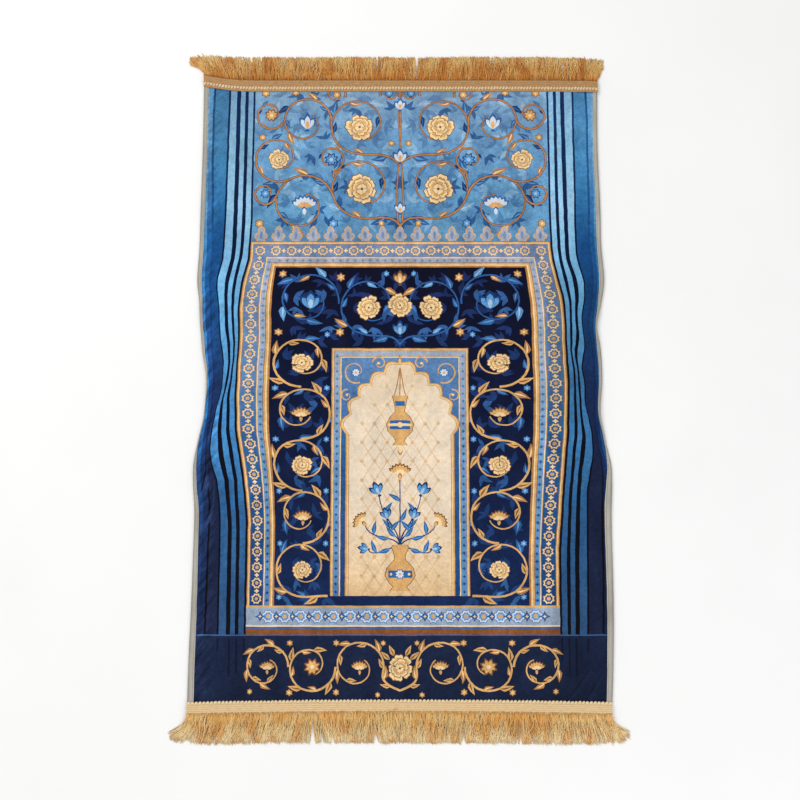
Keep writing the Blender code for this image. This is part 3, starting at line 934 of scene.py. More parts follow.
def draw_vase():
    """A vase with a spray of tulips and carnations."""
    for tip_x, tip_y, lean, kind, size in SPRAY:
        both = tip_x > 0
        path = curve((0, VASE_NECK), (0, VASE_NECK + tip_y * 0.25),
                     (tip_x * 0.85, VASE_FOOT + tip_y * 0.7), (tip_x, VASE_FOOT + tip_y), 10)
        stroke("blue_deep", path, 2.2, 0.7, both)
        for at, turn in SPRAY_LEAVES:
            leaf("blue_mid", "blue_flower", *path[at], lean + turn, 22, 8, 0.3, both)
        if kind == "carnation":
            carnation(GOLD_FLOWER, tip_x, VASE_FOOT + tip_y, lean, size, both)
        else:
            tulip(BLUE_FLOWER, tip_x, VASE_FOOT + tip_y, lean, size, both)
    vessel(VASE, VASE_BANDS, VASE_LEVEL, 1.2)
    middle = VASE_FOOT + 25.5
    rosette(PALE_FLOWER, 0, middle, 9, 8, both=False)
    for x in (-14, 14):
        disc("gold_light", x, middle, 2.2, 6, both=False)


PANEL_STEM = ("panel_shade", "blue_mid", 2.4)
PANEL_LEAVES = (("panel_leaf", "blue_flower"), ("blue_flower", "blue_pale"), ("gold_deep", "gold_light"),
                ("blue_mid", "blue_flower"))
PANEL_SCROLLS = [
    (50, 128, 44, 285, 1, ("peony", None, 21), (0, 68, 60)),
    (141, 139, 43, 186, -1, ("tulip", BLUE_FLOWER, 28), None),
]
ARABESQUE_STEM = (None, "gold", 3.4)
ARABESQUE_LEAVES = (("gold", "gold_dark"), ("panel_leaf", "blue_flower"), ("gold_deep", "gold_light"))
ARABESQUE_SCROLLS = [
    (152, -290, 41, 270, 1, ("peony", None, 16), (112, -330, 0)),
    (152, -208, 41, 270, -1, ("carnation", GOLD_FLOWER, 19), None),
    (152, -126, 41, 270, 1, ("peony", None, 16), None),
    (152, -44, 41, 270, -1, ("carnation", GOLD_FLOWER, 19), None),
    (152, 38, 39, 270, 1, ("peony", None, 17), None),
]
PANEL_SPRIGS = ("panel_shade", "panel_shade", "panel_leaf")
PANEL_ROSETTES = ((95, 178, 8), (96, 88, 8), (184, 184, 7), (186, 88, 7), (116, 84, 6), (116, -3, 6),
                  (188, -3, 6), (116, -85, 6), (188, -85, 6), (116, -167, 6), (188, -167, 6),
                  (116, -249, 6), (188, -249, 6), (188, -332, 6), (22, 184, 6))


def draw_panel():
    """Flowering scrolls on the dark ground round the niche."""
    sprigs(PANEL_SPRIGS, (4, 180, 74, 186), pitch=25, size=18, seed=12)
    sprigs(PANEL_SPRIGS, (118, 180, -336, 60), pitch=27, size=18, seed=13)
    draw_scrolls(PANEL_SCROLLS, PANEL_STEM, PANEL_LEAVES)
    draw_scrolls(ARABESQUE_SCROLLS, ARABESQUE_STEM, ARABESQUE_LEAVES)
    tulip(BLUE_FLOWER, 0, 84, 90, 22, both=False)
    peony(0, 132, 20, both=False)
    tulip(GOLD_FLOWER, 0, 168, 90, 20, both=False)
    draw_rosettes(PANEL_ROSETTES, BLUE_FLOWER, GOLD_FLOWER, 7)


TILES = 10
TILE_PITCH = 25.6
TILE_MIDDLE = TILES_TOP - 14.5
TILE_STAR = (("blue_mid", 11.5), ("white_blue", 10.2), ("blue_flower", 7.4), ("gold", 4))
TILE_SPARK = (("blue_deep", 8.6), ("blue_mid", 7), ("gold_light", 3))
# The courses of the tiled row: ink, top and bottom
TILE_COURSES = (("gold", TILES_TOP + 2, TILES_TOP - 1), ("tile", TILES_TOP - 1, BASE_TOP))
FOOT_COURSES = (("gold_light", BASE_TOP, BASE_TOP - 2.2), ("blue_mid", BASE_TOP - 2.2, BASE_TOP - 5.4),
                ("rust", BASE_TOP - 5.4, STRIPES_END))


def draw_tiles():
    """A row of star tiles under the frame, on a rust-brown course."""
    for ink, top, bottom in TILE_COURSES:
        frame_block(ink, FIELD, top, bottom)
    for k in range(TILES):
        x = TILE_PITCH * k
        if x + 11 < FIELD:
            stars(TILE_STAR, x, TILE_MIDDLE, k > 0)
        if x + 24 < FIELD:
            stars(TILE_SPARK, x + TILE_PITCH / 2, TILE_MIDDLE, form=SLIM_POINTED)
    for ink, top, bottom in FOOT_COURSES:
        frame_block(ink, FIELD, top, bottom)


BASE_SCROLLS = [
    (62, -438, 37, 195, -1, ("carnation", GOLD_FLOWER, 17), (0, -474, 25)),
    (135, -438, 36, 180, 1, ("rosette", GOLD_FLOWER, 14), None),
    (205, -438, 33, 180, -1, ("carnation", GOLD_FLOWER, 16), None),
]
BASE_LEAVES = (("gold", "gold_dark"), ("gold_deep", "gold_light"))
BASE_RULE = 1.8
# The faint upright lines under the stripes: x, length
BASE_LINES = ((242, 34), (253, 52), (264, 56), (283, 20))
BASE_LINE_HALF = 1.5
BASE_LINES_TOP = STRIPES_END - 6
BASE_FLOWER_AT = (0, -440)
BASE_ROSETTES = ((98, -402, 6), (98, -476, 6), (170, -402, 6), (170, -476, 6), (232, -474, 5), (26, -402, 5),
                 (34, -480, 5))


def draw_base():
    """The plain dark base with its thin blue rule and a gold vine that runs out from a middle flower."""
    frame_block("base", PRINT_EDGE, STRIPES_END, PRINT_BOTTOM)
    frame_block("base_line", PRINT_EDGE, STRIPES_END, STRIPES_END - BASE_RULE)
    for x, length in BASE_LINES:
        block("base_shade", x - BASE_LINE_HALF, x + BASE_LINE_HALF, BASE_LINES_TOP - length,
              BASE_LINES_TOP, True)
    draw_scrolls(BASE_SCROLLS, ARABESQUE_STEM, BASE_LEAVES)
    peony(*BASE_FLOWER_AT, 21, both=False)
    for turn in (40, 64, 116, 140):
        leaf("gold", "gold_dark", *polar(*BASE_FLOWER_AT, 20, turn), turn, 19, 8, 0.0, both=False)
    draw_rosettes(BASE_ROSETTES, GOLD_FLOWER)


# The two marks along a crease, a painted highlight and a painted shade line: ink, then how far off and how
# wide, as shares of the crease's half width
CREASE_STROKES = (("crease_light", -0.8, 1.8), ("crease_dark", 0.0, 0.42))
CREASE_BEND = 0.08


def draw_creases():
    """Painted light along each tall crease: a painted shade line with a broader painted highlight beside it.
    """
    for x0, y0, x1, y1, half_width, height in CREASES:
        if height < PAINTED_CREASE_HEIGHT:
            continue
        length, angle = math.hypot(x1 - x0, y1 - y0), math.degrees(math.atan2(y1 - y0, x1 - x0))
        for ink, off, width in CREASE_STROKES:
            x, y = polar(x0, y0, off * half_width, angle + 90)
            paint(ink, blade(x, y, angle, length, width * half_width, LEAF, CREASE_BEND), False)


def draw_print():
    """Everything on the cloth, each part over the earlier ones."""
    draw_sky()
    draw_stripes()
    draw_cresting()
    draw_frame()
    draw_panel()
    draw_niche()
    draw_tiles()
    draw_base()
    draw_creases()


# ---------------------------------------------------------------- laying the print on the cloth
HALF = CLOTH_HALF_WIDTH / MM
GRID = 10.0
LONGEST_EDGE = 10.0
WOBBLE = 0.7
WOBBLE_SCALE = 11.0
WOBBLE_LEVEL = 3.0
ALONG_WOBBLE = Vector((31, 7, 0))
MERGE = 1e-3
EDGE_COLUMNS = (1.6, 3.4, 5.4, 7.6)
CREASE_STEP = 6.0
CREASE_NET = (-1.0, -0.6, -0.3, 0.0, 0.3, 0.6, 1.0)
SPILL_SHARE = 1.05
SPILL_AREA = 3.0
GROUND_INK = "band"


def warp(x, y):
    """Where a place of the drawn print lies on the flat cloth (mm): the stripes wander sideways."""
    side = -1 if x < 0 else 1
    lines = [(drawn, place) for (drawn, _), place in zip(STRIPE_LINES, along_rows(STRIPE_COURSE[side], y))]
    drawn_inner, inner = lines[0]
    halfway = (WARP_FROM + drawn_inner) / 2
    anchors = [(0, 0), (WARP_FROM, WARP_FROM), (halfway, halfway + MIDDLE_FOLLOWS * (inner - drawn_inner)),
               *lines, (RIM_LINE, along_rows(RIM_LINE_COURSE[side], y)[0]), (HALF, HALF)]
    out = abs(x)
    for (a0, b0), (a1, b1) in zip(anchors, anchors[1:]):
        if out <= a1:
            out = b0 + (b1 - b0) * (out - a0) / (a1 - a0)
            break
    place = Vector((abs(x), y, WOBBLE_LEVEL)) / WOBBLE_SCALE
    size = WOBBLE * min(1.0, (HALF - abs(x)) / WOBBLE_SCALE)
    return (math.copysign(out, x) + size * noise.noise(place), y + size * noise.noise(place + ALONG_WOBBLE))


def area_of(points):
    """Signed area of an outline."""
    return sum(a[0] * b[1] - b[0] * a[1] for a, b in zip(points, points[1:] + points[:1])) / 2


def divided(points):
    """A closed outline with no edge longer than LONGEST_EDGE, run anticlockwise."""
    if area_of(points) < 0:
        points = points[::-1]
    out = []
    for (x0, y0), (x1, y1) in zip(points, points[1:] + points[:1]):
        parts = max(1, math.ceil(math.hypot(x1 - x0, y1 - y0) / LONGEST_EDGE))
        out += [(x0 + (x1 - x0) * k / parts, y0 + (y1 - y0) * k / parts) for k in range(parts)]
    return out


# How much each ink's strength drifts over the cloth, as if laid on by hand
INK_DRIFT = {"sky": 0.42, "sky_shade": 0.3, "sky_pale": 0.3, "band": 0.16, "stripe_light": 0.16,
             "panel": 0.3, "base": 0.2, "silver": 0.2, "frame_blue": 0.2, "cream": 0.08}
DRIFT_ELSEWHERE = 0.14
DRIFT_SCALE = 30.0
DRIFT_LEVEL = 5.0
FINE_DRIFT = 0.5
FINE_DRIFT_SCALE = 2.3
DRIFT_TINT = (1.0, 0.85, 0.6)
INK_STEP = 4


def drifted(colour, ink, x, y):
    """An ink's colour at a place of the cloth, stronger or paler than its mean."""
    place = Vector((x, y, DRIFT_LEVEL)) / DRIFT_SCALE
    drift = noise.noise(place) + FINE_DRIFT * noise.noise(place * FINE_DRIFT_SCALE)
    drift *= INK_DRIFT.get(ink, DRIFT_ELSEWHERE)
    return [c * (1 + drift * share) for c, share in zip(colour, DRIFT_TINT)] + [1.0]


@functools.cache
def ink_colour(ink, step):
    """The linear colour of an ink a number of INK_STEPs up the rug."""
    stops = [(at, *linear(colour)) for at, colour in INKS[ink]]
    return along_rows(stops, step * INK_STEP)


def crease_points():
    """A finer net of points over each crease (mm)."""
    points = []
    for x0, y0, x1, y1, half_width, _ in CREASES:
        run = Vector((x1 - x0, y1 - y0))
        across = Vector((-run.y, run.x)).normalized() * half_width
        steps = round(run.length / CREASE_STEP)
        for k in range(1, steps):
            points += [Vector((x0, y0)) + run * k / steps + across * share for share in CREASE_NET]
    return points


def spaced(low, high, pitch):
    """Even steps of about a pitch from low to high."""
    count = round((high - low) / pitch)
    return [low + (high - low) * k / count for k in range(count + 1)]


def inside(x, y, outline):
    """Whether a place lies within an outline."""
    within = False
    for a, b in zip(outline, outline[1:] + outline[:1]):
        if (a[1] > y) != (b[1] > y) and x < a[0] + (b[0] - a[0]) * (y - a[1]) / (b[1] - a[1]):
            within = not within
    return within


def top_inks(flat, triangles, sources, outlines):
    """The ink that shows in each triangle: that of the last shape drawn over it.

    Where a shape claims more area than it has, its triangles are tested one by one.
    """
    corners = [[flat[i] for i in t] for t in triangles]
    claimed = [0.0] * len(outlines)
    for places, source in zip(corners, sources):
        size = abs(area_of(places))
        for shape in source:
            claimed[shape] += size
    spilt = {k for k, outline in enumerate(outlines)
             if claimed[k] > SPILL_SHARE * abs(area_of(outline)) + SPILL_AREA}
    inks = []
    for places, source in zip(corners, sources):
        x, y = sum(p.x for p in places) / 3, sum(p.y for p in places) / 3
        shown = next((k for k in sorted(source, reverse=True)
                      if k not in spilt or inside(x, y, outlines[k])), None)
        inks.append(GROUND_INK if shown is None else design[shown][0])
    return inks


def printed_triangles():
    """The flat print as points on the cloth (mm) and triangles, each with its ink."""
    beside_edges = [side * (HALF - off) for side in (-1, 1) for off in EDGE_COLUMNS]
    columns = sorted(spaced(-HALF, HALF, GRID) + beside_edges)
    rows = spaced(CLOTH_BOTTOM / MM, CLOTH_TOP / MM, GRID)
    points = [Vector((x, y)) for y in rows for x in columns] + crease_points()
    shapes, outlines = [], []
    for _, outline in design:
        outlines.append([Vector(warp(x, y)) for x, y in divided(outline)])
        shapes.append(list(range(len(points), len(points) + len(outlines[-1]))))
        points += outlines[-1]
    flat, _, triangles, _, _, sources = delaunay_2d_cdt(points, [], shapes, 0, MERGE, True)
    return flat, triangles, top_inks(flat, triangles, sources, outlines), columns, rows


# ---------------------------------------------------------------- meshes
def new_object(name, mesh, materials):
    """A mesh put into the scene with its materials."""
    for material in materials:
        mesh.materials.append(material)
    obj = bpy.data.objects.new(name, mesh)
    bpy.context.scene.collection.objects.link(obj)
    return obj


def smooth_object(name, points, faces, material, sharp=None, **vectors):
    """A smooth object, with creases over a sharp angle (degrees) and a named vector at each point."""
    mesh = bpy.data.meshes.new(name)
    mesh.from_pydata(points, [], faces)
    for key, values in vectors.items():
        attribute = mesh.attributes.new(key, "FLOAT_VECTOR", "POINT")
        attribute.data.foreach_set("vector", [c for value in values for c in value])
    mesh.shade_smooth()
    if sharp:
        mesh.set_sharp_from_angle(angle=math.radians(sharp))
    return new_object(name, mesh, [material])


def tube_faces(first, rings, around, flip=False):
    """The sides of a tube of rings of points, numbered from first, and then its two caps."""
    faces = []
    for j in range(rings - 1):
        for i in range(around):
            a, b = first + j * around + i, first + j * around + (i + 1) % around
            faces.append((a, b, b + around, a + around))
    last = first + (rings - 1) * around
    faces += [tuple(range(first + around - 1, first - 1, -1)), tuple(range(last, last + around))]
    return [face[::-1] for face in faces] if flip else faces


UV_SCALE = 1 / 1030
UV_ORIGIN = (326, 510)
UV_BACK = 660
BACK_COLOUR = (150, 150, 148)


def nearest(values, value):
    """The index of the one of the values that lies nearest to a value."""
    return min(range(len(values)), key=lambda k: abs(values[k] - value))


def back_faces(first, wide, tall, rim):
    """The panel's plain back, a grid numbered from first, and the band that joins it to the top's rim."""
    back = [[first + j * wide + i for i in range(wide)] for j in range(tall)]
    faces = []
    for low, high in zip(back, back[1:]):
        for i in range(wide - 1):
            faces.append((low[i], high[i], high[i + 1], low[i + 1]))
    loop = [(i, 0) for i in range(wide - 1)] + [(wide - 1, j) for j in range(tall - 1)]
    loop += [(i, tall - 1) for i in range(wide - 1, 0, -1)] + [(0, j) for j in range(tall - 1, 0, -1)]
    for (i0, j0), (i1, j1) in zip(loop, loop[1:] + loop[:1]):
        faces.append((back[j0][i0], back[j1][i1], rim[i1, j1], rim[i0, j0]))
    return faces


def print_colours(flat, triangles, inks, others):
    """The print's colour at each corner of each triangle, then the back's plain one for other corners."""
    values = []
    for triangle, ink in zip(triangles, inks):
        for corner in triangle:
            x, y = flat[corner]
            values += drifted(ink_colour(ink, round(y / INK_STEP)), ink, x, y)
    return values + list(linear(BACK_COLOUR)) * others


def build_panel(materials):
    """The plush panel: the print on top, a plain back, both on the cloth's course."""
    flat, triangles, inks, columns, rows = printed_triangles()
    points = [cloth_point(p.x * MM, p.y * MM, pile_height(p.x * MM, p.y * MM)) for p in flat]
    rim = {}
    for k, p in enumerate(flat):
        if abs(abs(p.x) - columns[-1]) < MERGE or min(p.y - rows[0], rows[-1] - p.y) < MERGE:
            rim[nearest(columns, p.x), nearest(rows, p.y)] = k
    left, foot = UV_ORIGIN
    place_uv = [(p.x + left, p.y + foot) for p in flat]
    place_uv += [(UV_BACK + (x + left) / 2, (y + foot) / 2) for y in rows for x in columns]
    top, under = [tuple(t) for t in triangles], back_faces(len(flat), len(columns), len(rows), rim)
    points += [cloth_point(x * MM, y * MM, 0.0) for y in rows for x in columns]
    faces = top + under
    mesh = bpy.data.meshes.new("rug_panel")
    mesh.from_pydata(points, [], faces)
    mesh.polygons.foreach_set("material_index", [0] * len(top) + [1] * len(under))
    colours = mesh.color_attributes.new("print", "FLOAT_COLOR", "CORNER")
    colours.data.foreach_set("color", print_colours(flat, triangles, inks, sum(map(len, under))))
    layer = mesh.uv_layers.new(name="cloth")
    layer.data.foreach_set("uv", [c * UV_SCALE for face in faces for v in face for c in place_uv[v]])
    mesh.shade_smooth()
    mesh.set_sharp_from_angle(angle=math.radians(50))
    return new_object("rug_panel", mesh, materials)


# ---------------------------------------------------------------- the binding
BINDING_SECTION = [
    # distance inboard of the cloth's edge, height on the cloth's underside (mm)
    (9.0, 2.72), (9.8, 2.74), (10.2, 3.1), (9.9, 3.5), (9.1, 3.68), (7.6, 3.5), (5.6, 3.58), (3.6, 3.74),
    (1.8, 3.7), (0.5, 3.4), (-0.5, 2.8), (-1.0, 2.0), (-1.1, 1.2), (-1.0, 0.3), (-0.5, -0.6),
    (0.6, -1.05), (2.4, -1.1), (9.4, -1.1), (10.0, -0.9), (9.8, -0.34), (1.0, -0.3), (-0.3, 0.2),
    (-0.3, 2.2), (1.0, 2.7),
]
BINDING_RUN = 14.0
BINDING_FOLD = 0.5
BINDING_TOP_FROM = 2.5
BINDING_PITCH = 3.5
PUCKER = 0.14
PUCKER_PITCH = 7.5
EDGE_WANDER = 0.45
EDGE_WANDER_SCALE = 22.0
EDGE_WANDER_SIDES = 9.0
STITCH_PITCH = 3.8
STITCH_LENGTH = 2.7
STITCH_HALF = 0.28
STITCH_HEIGHT = 3.62
STITCH_INSET = 1.7
STITCH_NEEDS = 4.5
# A stitch's rings: where along it, and how much of its full girth
STITCH_RINGS = ((-0.5, 0.35), (-0.25, 1.0), (0.25, 1.0), (0.5, 0.35))
STITCH_SIDES = ((-1, 0), (0, 1), (1, 0), (0, -1))


def tape_point(side, inboard, height, y):
    """A point on the binding, with the small puckers of its seam."""
    if height > BINDING_TOP_FROM and inboard > BINDING_FOLD:
        share = (inboard - BINDING_FOLD) / (BINDING_REACH / MM - BINDING_FOLD)
        height += PUCKER * math.sin(2 * math.pi * y / PUCKER_PITCH) * min(1.0, share)
        wander = EDGE_WANDER * noise.noise(Vector((side * EDGE_WANDER_SIDES, y / EDGE_WANDER_SCALE, 1.0)))
        inboard = BINDING_FOLD + share * (tape_shows(side, y) + wander - BINDING_FOLD)
    return cloth_point(side * (CLOTH_HALF_WIDTH - inboard * MM), y * MM, height * MM)


def build_binding(name, side, material):
    """The folded tape, with where each point lies on the tape kept for its weave."""
    rows = spaced(CLOTH_BOTTOM / MM, CLOTH_TOP / MM, BINDING_PITCH)
    run = [0.0]
    for (a0, h0), (a1, h1) in zip(BINDING_SECTION, BINDING_SECTION[1:]):
        run.append(run[-1] + math.hypot(a1 - a0, h1 - h0))
    points = [tape_point(side, inboard, height, y) for y in rows for inboard, height in BINDING_SECTION]
    places = [(along, y, 0.0) for y in rows for along in run]
    faces = tube_faces(0, len(rows), len(run), flip=side > 0)
    return smooth_object(name, points, faces, material, sharp=60, tape=places)


def build_stitches(name, side, material):
    """The seam's stitches on top of the tape, each a small pillow of thread."""
    points, faces = [], []
    start, end = (CLOTH_BOTTOM + BOTTOM_COVER) / MM, (CLOTH_TOP - TOP_COVER) / MM
    for k in range(round((end - start) / STITCH_PITCH)):
        middle = start + (k + 0.5) * STITCH_PITCH
        shown = tape_shows(side, middle)
        if shown < STITCH_NEEDS:
            continue
        at = BINDING_REACH / MM * (1 - STITCH_INSET / shown)
        faces += tube_faces(len(points), len(STITCH_RINGS), len(STITCH_SIDES), flip=side < 0)
        for share, swell in STITCH_RINGS:
            y, half = middle + share * STITCH_LENGTH, STITCH_HALF * swell
            for across, up in STITCH_SIDES:
                points.append(tape_point(side, at + across * half, STITCH_HEIGHT + up * half, y))
    return smooth_object(name, points, faces, material)


# ---------------------------------------------------------------- the headings
HEADING_GAP = 0.5
HEADING_FRONT = 1.2
HEADING_THICKNESS = 0.85
HEADING_STEP = 1.9
# The tape's outline: offsets inboard and up (mm), and the lip's swell at shares of its width
INNER_FOLD = ((0.2, 0.3), (-0.1, 0.65))
LIP_NEEDS = 1.5
LIP_SWELL = ((0.35, 0.95), (0.7, 0.9))
LIP_END = (0.4, 0.7)
BEAD_VALLEY = 0.8
FRONT_ROLL = ((0.9, 0.1), (0.25, -0.3), (0.0, -1.1))
CORD_PITCH = 3.1
CORD_START = 0.4
CORD_HEIGHT = 0.4
CORD_STEPS = 5
SLACK = 0.12
SLACK_SCALES = (14.0, 5.0)
SLACK_ENDS = 5.0
SLACK_ABOVE = 2.0
SLACK_FROM = -2
# Each end: the tape's reach inboard, its beads' middle, and a bead's half length along the rug (mm)
HEADINGS = {"top": (18.0, 12.2, 3.1), "bottom": (19.6, 19.3, 2.7)}
BEADS = {"top": 132, "bottom": 112}
BEAD_HALF_WIDTH = 0.47
BEAD_RISE = 1.7
# How the beads' width, length and rise vary, as shares
BEAD_VARIES = ((0.9, 1.08), (0.88, 1.06), (0.85, 1.1))
# The mean slant of a bead and its spread (degrees)
BEAD_SLANT = (14, 6)
BEAD_JITTER = 0.25
BEAD_AROUND = 10
BEAD_RINGS = 4


def heading_underside(x):
    """Height of the heading's underside (mm): on the cloth, and over the binding at the corners."""
    inboard = CLOTH_HALF_WIDTH - abs(x)
    rise = 2 * (GAP + BINDING_TAPE)
    corner = smoothstep((CORNER_RISE_FROM - inboard) / (CORNER_RISE_FROM - CORNER_RISE_TO))
    return (PRESSED_THICKNESS + GAP + rise * corner) / MM


def heading_section(under, sizes):
    """The tape's outline: (distance inboard of the cloth's end, height), with its woven cords."""
    reach, bead_at, bead_half = sizes
    front = -(HEADING_GAP + HEADING_FRONT)
    top = under + HEADING_THICKNESS
    section = [(front, 0.0), (-HEADING_GAP, 0.0), (-HEADING_GAP, under), (reach, under)]
    section += [(reach + inboard, under + up) for inboard, up in INNER_FOLD]
    lip = reach - (bead_at + bead_half)
    if lip > LIP_NEEDS:
        section += [(reach - share * lip, under + up) for share, up in LIP_SWELL]
        section.append((bead_at + bead_half - LIP_END[0], under + LIP_END[1]))
    section.append((bead_at - bead_half, under + BEAD_VALLEY))
    start = bead_at - bead_half - CORD_START
    cords = int((start - front - FRONT_ROLL[0][0]) / CORD_PITCH)
    for k in range(cords * CORD_STEPS + 1):
        bulge = abs(math.sin(math.pi * k / CORD_STEPS))
        section.append((start - CORD_PITCH * k / CORD_STEPS, top + CORD_HEIGHT * bulge))
    return section + [(front + inboard, top + up) for inboard, up in FRONT_ROLL]


def heading_line(x, end):
    """y of the cloth's end under the heading at x, in metres."""
    cloth_end = CLOTH_TOP if end > 0 else CLOTH_BOTTOM
    return cloth_end + end_bow(x, cloth_end)


def heading_span(end):
    """x of the heading's two ends, in metres."""
    cloth_end = CLOTH_TOP if end > 0 else CLOTH_BOTTOM
    return -(edge_outline(-1, cloth_end) + GAP), edge_outline(1, cloth_end) + GAP


def build_heading(name, end, sizes, material):
    """The woven tape over one end of the cloth."""
    low, high = heading_span(end)
    stations = spaced(low / MM, high / MM, HEADING_STEP)
    along, across = SLACK_SCALES
    points, places = [], []
    for x in stations:
        section = heading_section(heading_underside(x * MM), sizes)
        for inboard, height in section:
            slack = SLACK * noise.noise(Vector((x / along, inboard / across, end * SLACK_ENDS)))
            lift = slack if height > SLACK_ABOVE and inboard > SLACK_FROM else 0.0
            points.append((x * MM, heading_line(x * MM, end) - end * inboard * MM, (height + lift) * MM))
            places.append((x, inboard, 0.0))
    faces = tube_faces(0, len(stations), len(section), flip=end > 0)
    return smooth_object(name, points, faces, material, sharp=70, tape=places)


def build_beads(name, end, sizes, count, seed, material):
    """The rib on the heading: a row of plump, slightly slanted loops of yarn, like beads."""
    rng = random.Random(seed)
    low, high = heading_span(end)
    pitch = (high - low) / count
    points, faces = [], []
    for k in range(count):
        x = low + (k + 0.5) * pitch
        wide, long, tall = (rng.uniform(*shares) for shares in BEAD_VARIES)
        half_width, half_length = pitch * BEAD_HALF_WIDTH * wide, sizes[2] * long * MM
        rise = BEAD_RISE * tall * MM
        lean = math.tan(math.radians(rng.gauss(*BEAD_SLANT)))
        inboard = sizes[1] + rng.uniform(-BEAD_JITTER, BEAD_JITTER)
        centre = Vector((x, heading_line(x, end) - end * inboard * MM,
                         (heading_underside(x) + HEADING_THICKNESS) * MM))
        *sides, foot, rim = tube_faces(len(points), BEAD_RINGS, BEAD_AROUND)
        for r in range(BEAD_RINGS):
            tilt = math.pi / 2 * r / BEAD_RINGS
            for a in range(BEAD_AROUND):
                turn = 2 * math.pi * a / BEAD_AROUND
                across, along = half_width * math.cos(turn), half_length * math.sin(turn)
                place = Vector((across + along * lean, along, 0)) * math.cos(tilt)
                points.append(centre + place + Vector((0, 0, rise * math.sin(tilt))))
        points.append(centre + Vector((0, 0, rise)))
        faces += [*sides, *((a, b, len(points) - 1) for a, b in zip(rim, rim[1:] + rim[:1])), foot]
    return smooth_object(name, points, faces, material, sharp=70)


# ---------------------------------------------------------------- the fringes
YARNS = 2100
CORNER_YARNS = 70
CORNER_BUNCH = 11.0
CORNER_CROWDS = 1.4
CORNER_ZONE = 30.0
CORNER_CURL = 1.1
CORNER_SHORT = {(1, -1): 0.22, (1, 1): 0.34, (-1, -1): 0.16, (-1, 1): 0.2}  # by end, then side
YARNS_PER_LOCK = 16
LOCK_OVERLAP = 0.7
ROOT_MARGIN = 0.6
YARN_RADIUS = 0.62
YARN_RADII = (0.7, 1.2)
YARN_TURNS = (90, 210, 330)
YARN_TIP = 0.7
YARN_PARTS = 9
YARN_EASE = 1.25
LOCK_LEAN = 2.6
LOCK_LENGTH = 0.6
LOCK_GATHER = 0.3
YARN_LEAN = 4.2
YARN_LENGTH = 0.4
STRAY_SHARE = 0.2
STRAY_LEAN = 9.0
STRAY_RISE = 1.0
TIP_OVERHANG = 2
SHORT_POWER = 1.5
# How high in the fringe a yarn lies (mm): by its lock's share and its own
FLOOR_GAP = 0.1
LAYERS = 4.2
LAYER_SHARES = (0.4, 0.6)
LAYER_POWER = 1.3
# A yarn's tone, by chance, for a stray, and by its height; the paler tones of strays and higher yarns are
# painted light
TONE_SHARES = (0.5, 0.5, 0.3)
# A yarn's course (mm, and shares of its length)
LEAST_REACH = 0.6
OVER_TAPE_FROM = 1
ROOT_HEIGHTS = (0.8, 3.3)
OVER_TAPE_HEIGHTS = (4.1, 4.7)
WAVES = (4.0, 9.0)
WAVE_SIZE = 1.2
WAVES_GROW = 0.5
DROP_FROM = 0.04
DROP_OVER = 0.42
BOW_HEIGHT = 1.3
RIPPLE_HEIGHT = 0.4
RIPPLE_WAVES = 6
SETTLES = 0.5
SETTLES_FROM = 0.55
SETTLES_OVER = 0.45
LEAST_GAP = 0.05
# Each end's yarns: length, its spread, how far the root lies inboard of the tape's front (mm)
YARN_SIZES = {"top": (40.5, 1.9, (0.2, 0.9)), "bottom": (41.5, 1.9, (1.5, 6.5))}
# Which way the fringe leans along each end: x, then how far the tips lie to the right (mm)
LEANS = {
    "top": [(-325, -22), (-312, -19), (-290, -13), (-262, -8), (-236, -2), (-190, 1), (-122, 3),
            (-116, -4), (-60, 0), (-43, -5), (-37, 4), (-12, 2), (19, -7), (28, 9), (60, 3), (160, 4),
            (230, 1), (290, 3), (312, 5), (325, 9)],
    "bottom": [(-326, -24), (-312, -20), (-290, -14), (-240, -11), (-160, -11), (-138, -14), (-126, 8),
               (-100, 6), (-54, -8), (-42, 7), (0, 2), (60, -4), (120, -3), (174, -8), (186, 6),
               (250, 4), (296, 8), (314, 16), (327, 25)],
}
# Where the fringe parts in a gap: x, then half the gap's width at the tips (mm)
PARTINGS = {
    "top": [(-246, 2.5), (-38, 3), (27, 3), (130, 1.5), (240, 2)],
    "bottom": [(-283, 2), (-133, 5), (-119, 2.5), (-103, 3), (-36, 4.5), (96, 3), (184, 2.5)],
}
PARTING_SPREAD = 0.5
LOOSE_YARN = [(-4, -500, 5.2), (-11, -503.5, 5.6), (-18, -504.5, 5.4), (-26, -508, 5.0), (-33, -513, 4.2),
              (-40, -520, 3.4), (-46, -524, 3.0)]
LOOSE_TONE = 0.8


def add_yarn(points, faces, tones, path, radius, tone):
    """A three-sided thread along a path in mm. Its tone and its share of length go with it."""
    last, first, around = len(path) - 1, len(points), len(YARN_TURNS)
    for k, place in enumerate(path):
        ahead = (path[min(last, k + 1)] - path[max(0, k - 1)]).normalized()
        across = ahead.cross(Vector((0, 0, 1))).normalized()
        up = across.cross(ahead)
        thin = radius * (YARN_TIP if k == last else 1.0)
        for turn in YARN_TURNS:
            c, s = math.cos(math.radians(turn)), math.sin(math.radians(turn))
            points.append((place + (across * c + up * s) * thin) * MM)
            tones.append((tone, k / last, 0.0))
    for k in range(last):
        for i in range(around):
            a, b = first + around * k + i, first + around * k + (i + 1) % around
            faces.append((a, a + around, b + around, b))
    faces.append((first, first + 1, first + 2))
    faces.append(tuple(first + around * last + i for i in (2, 1, 0)))


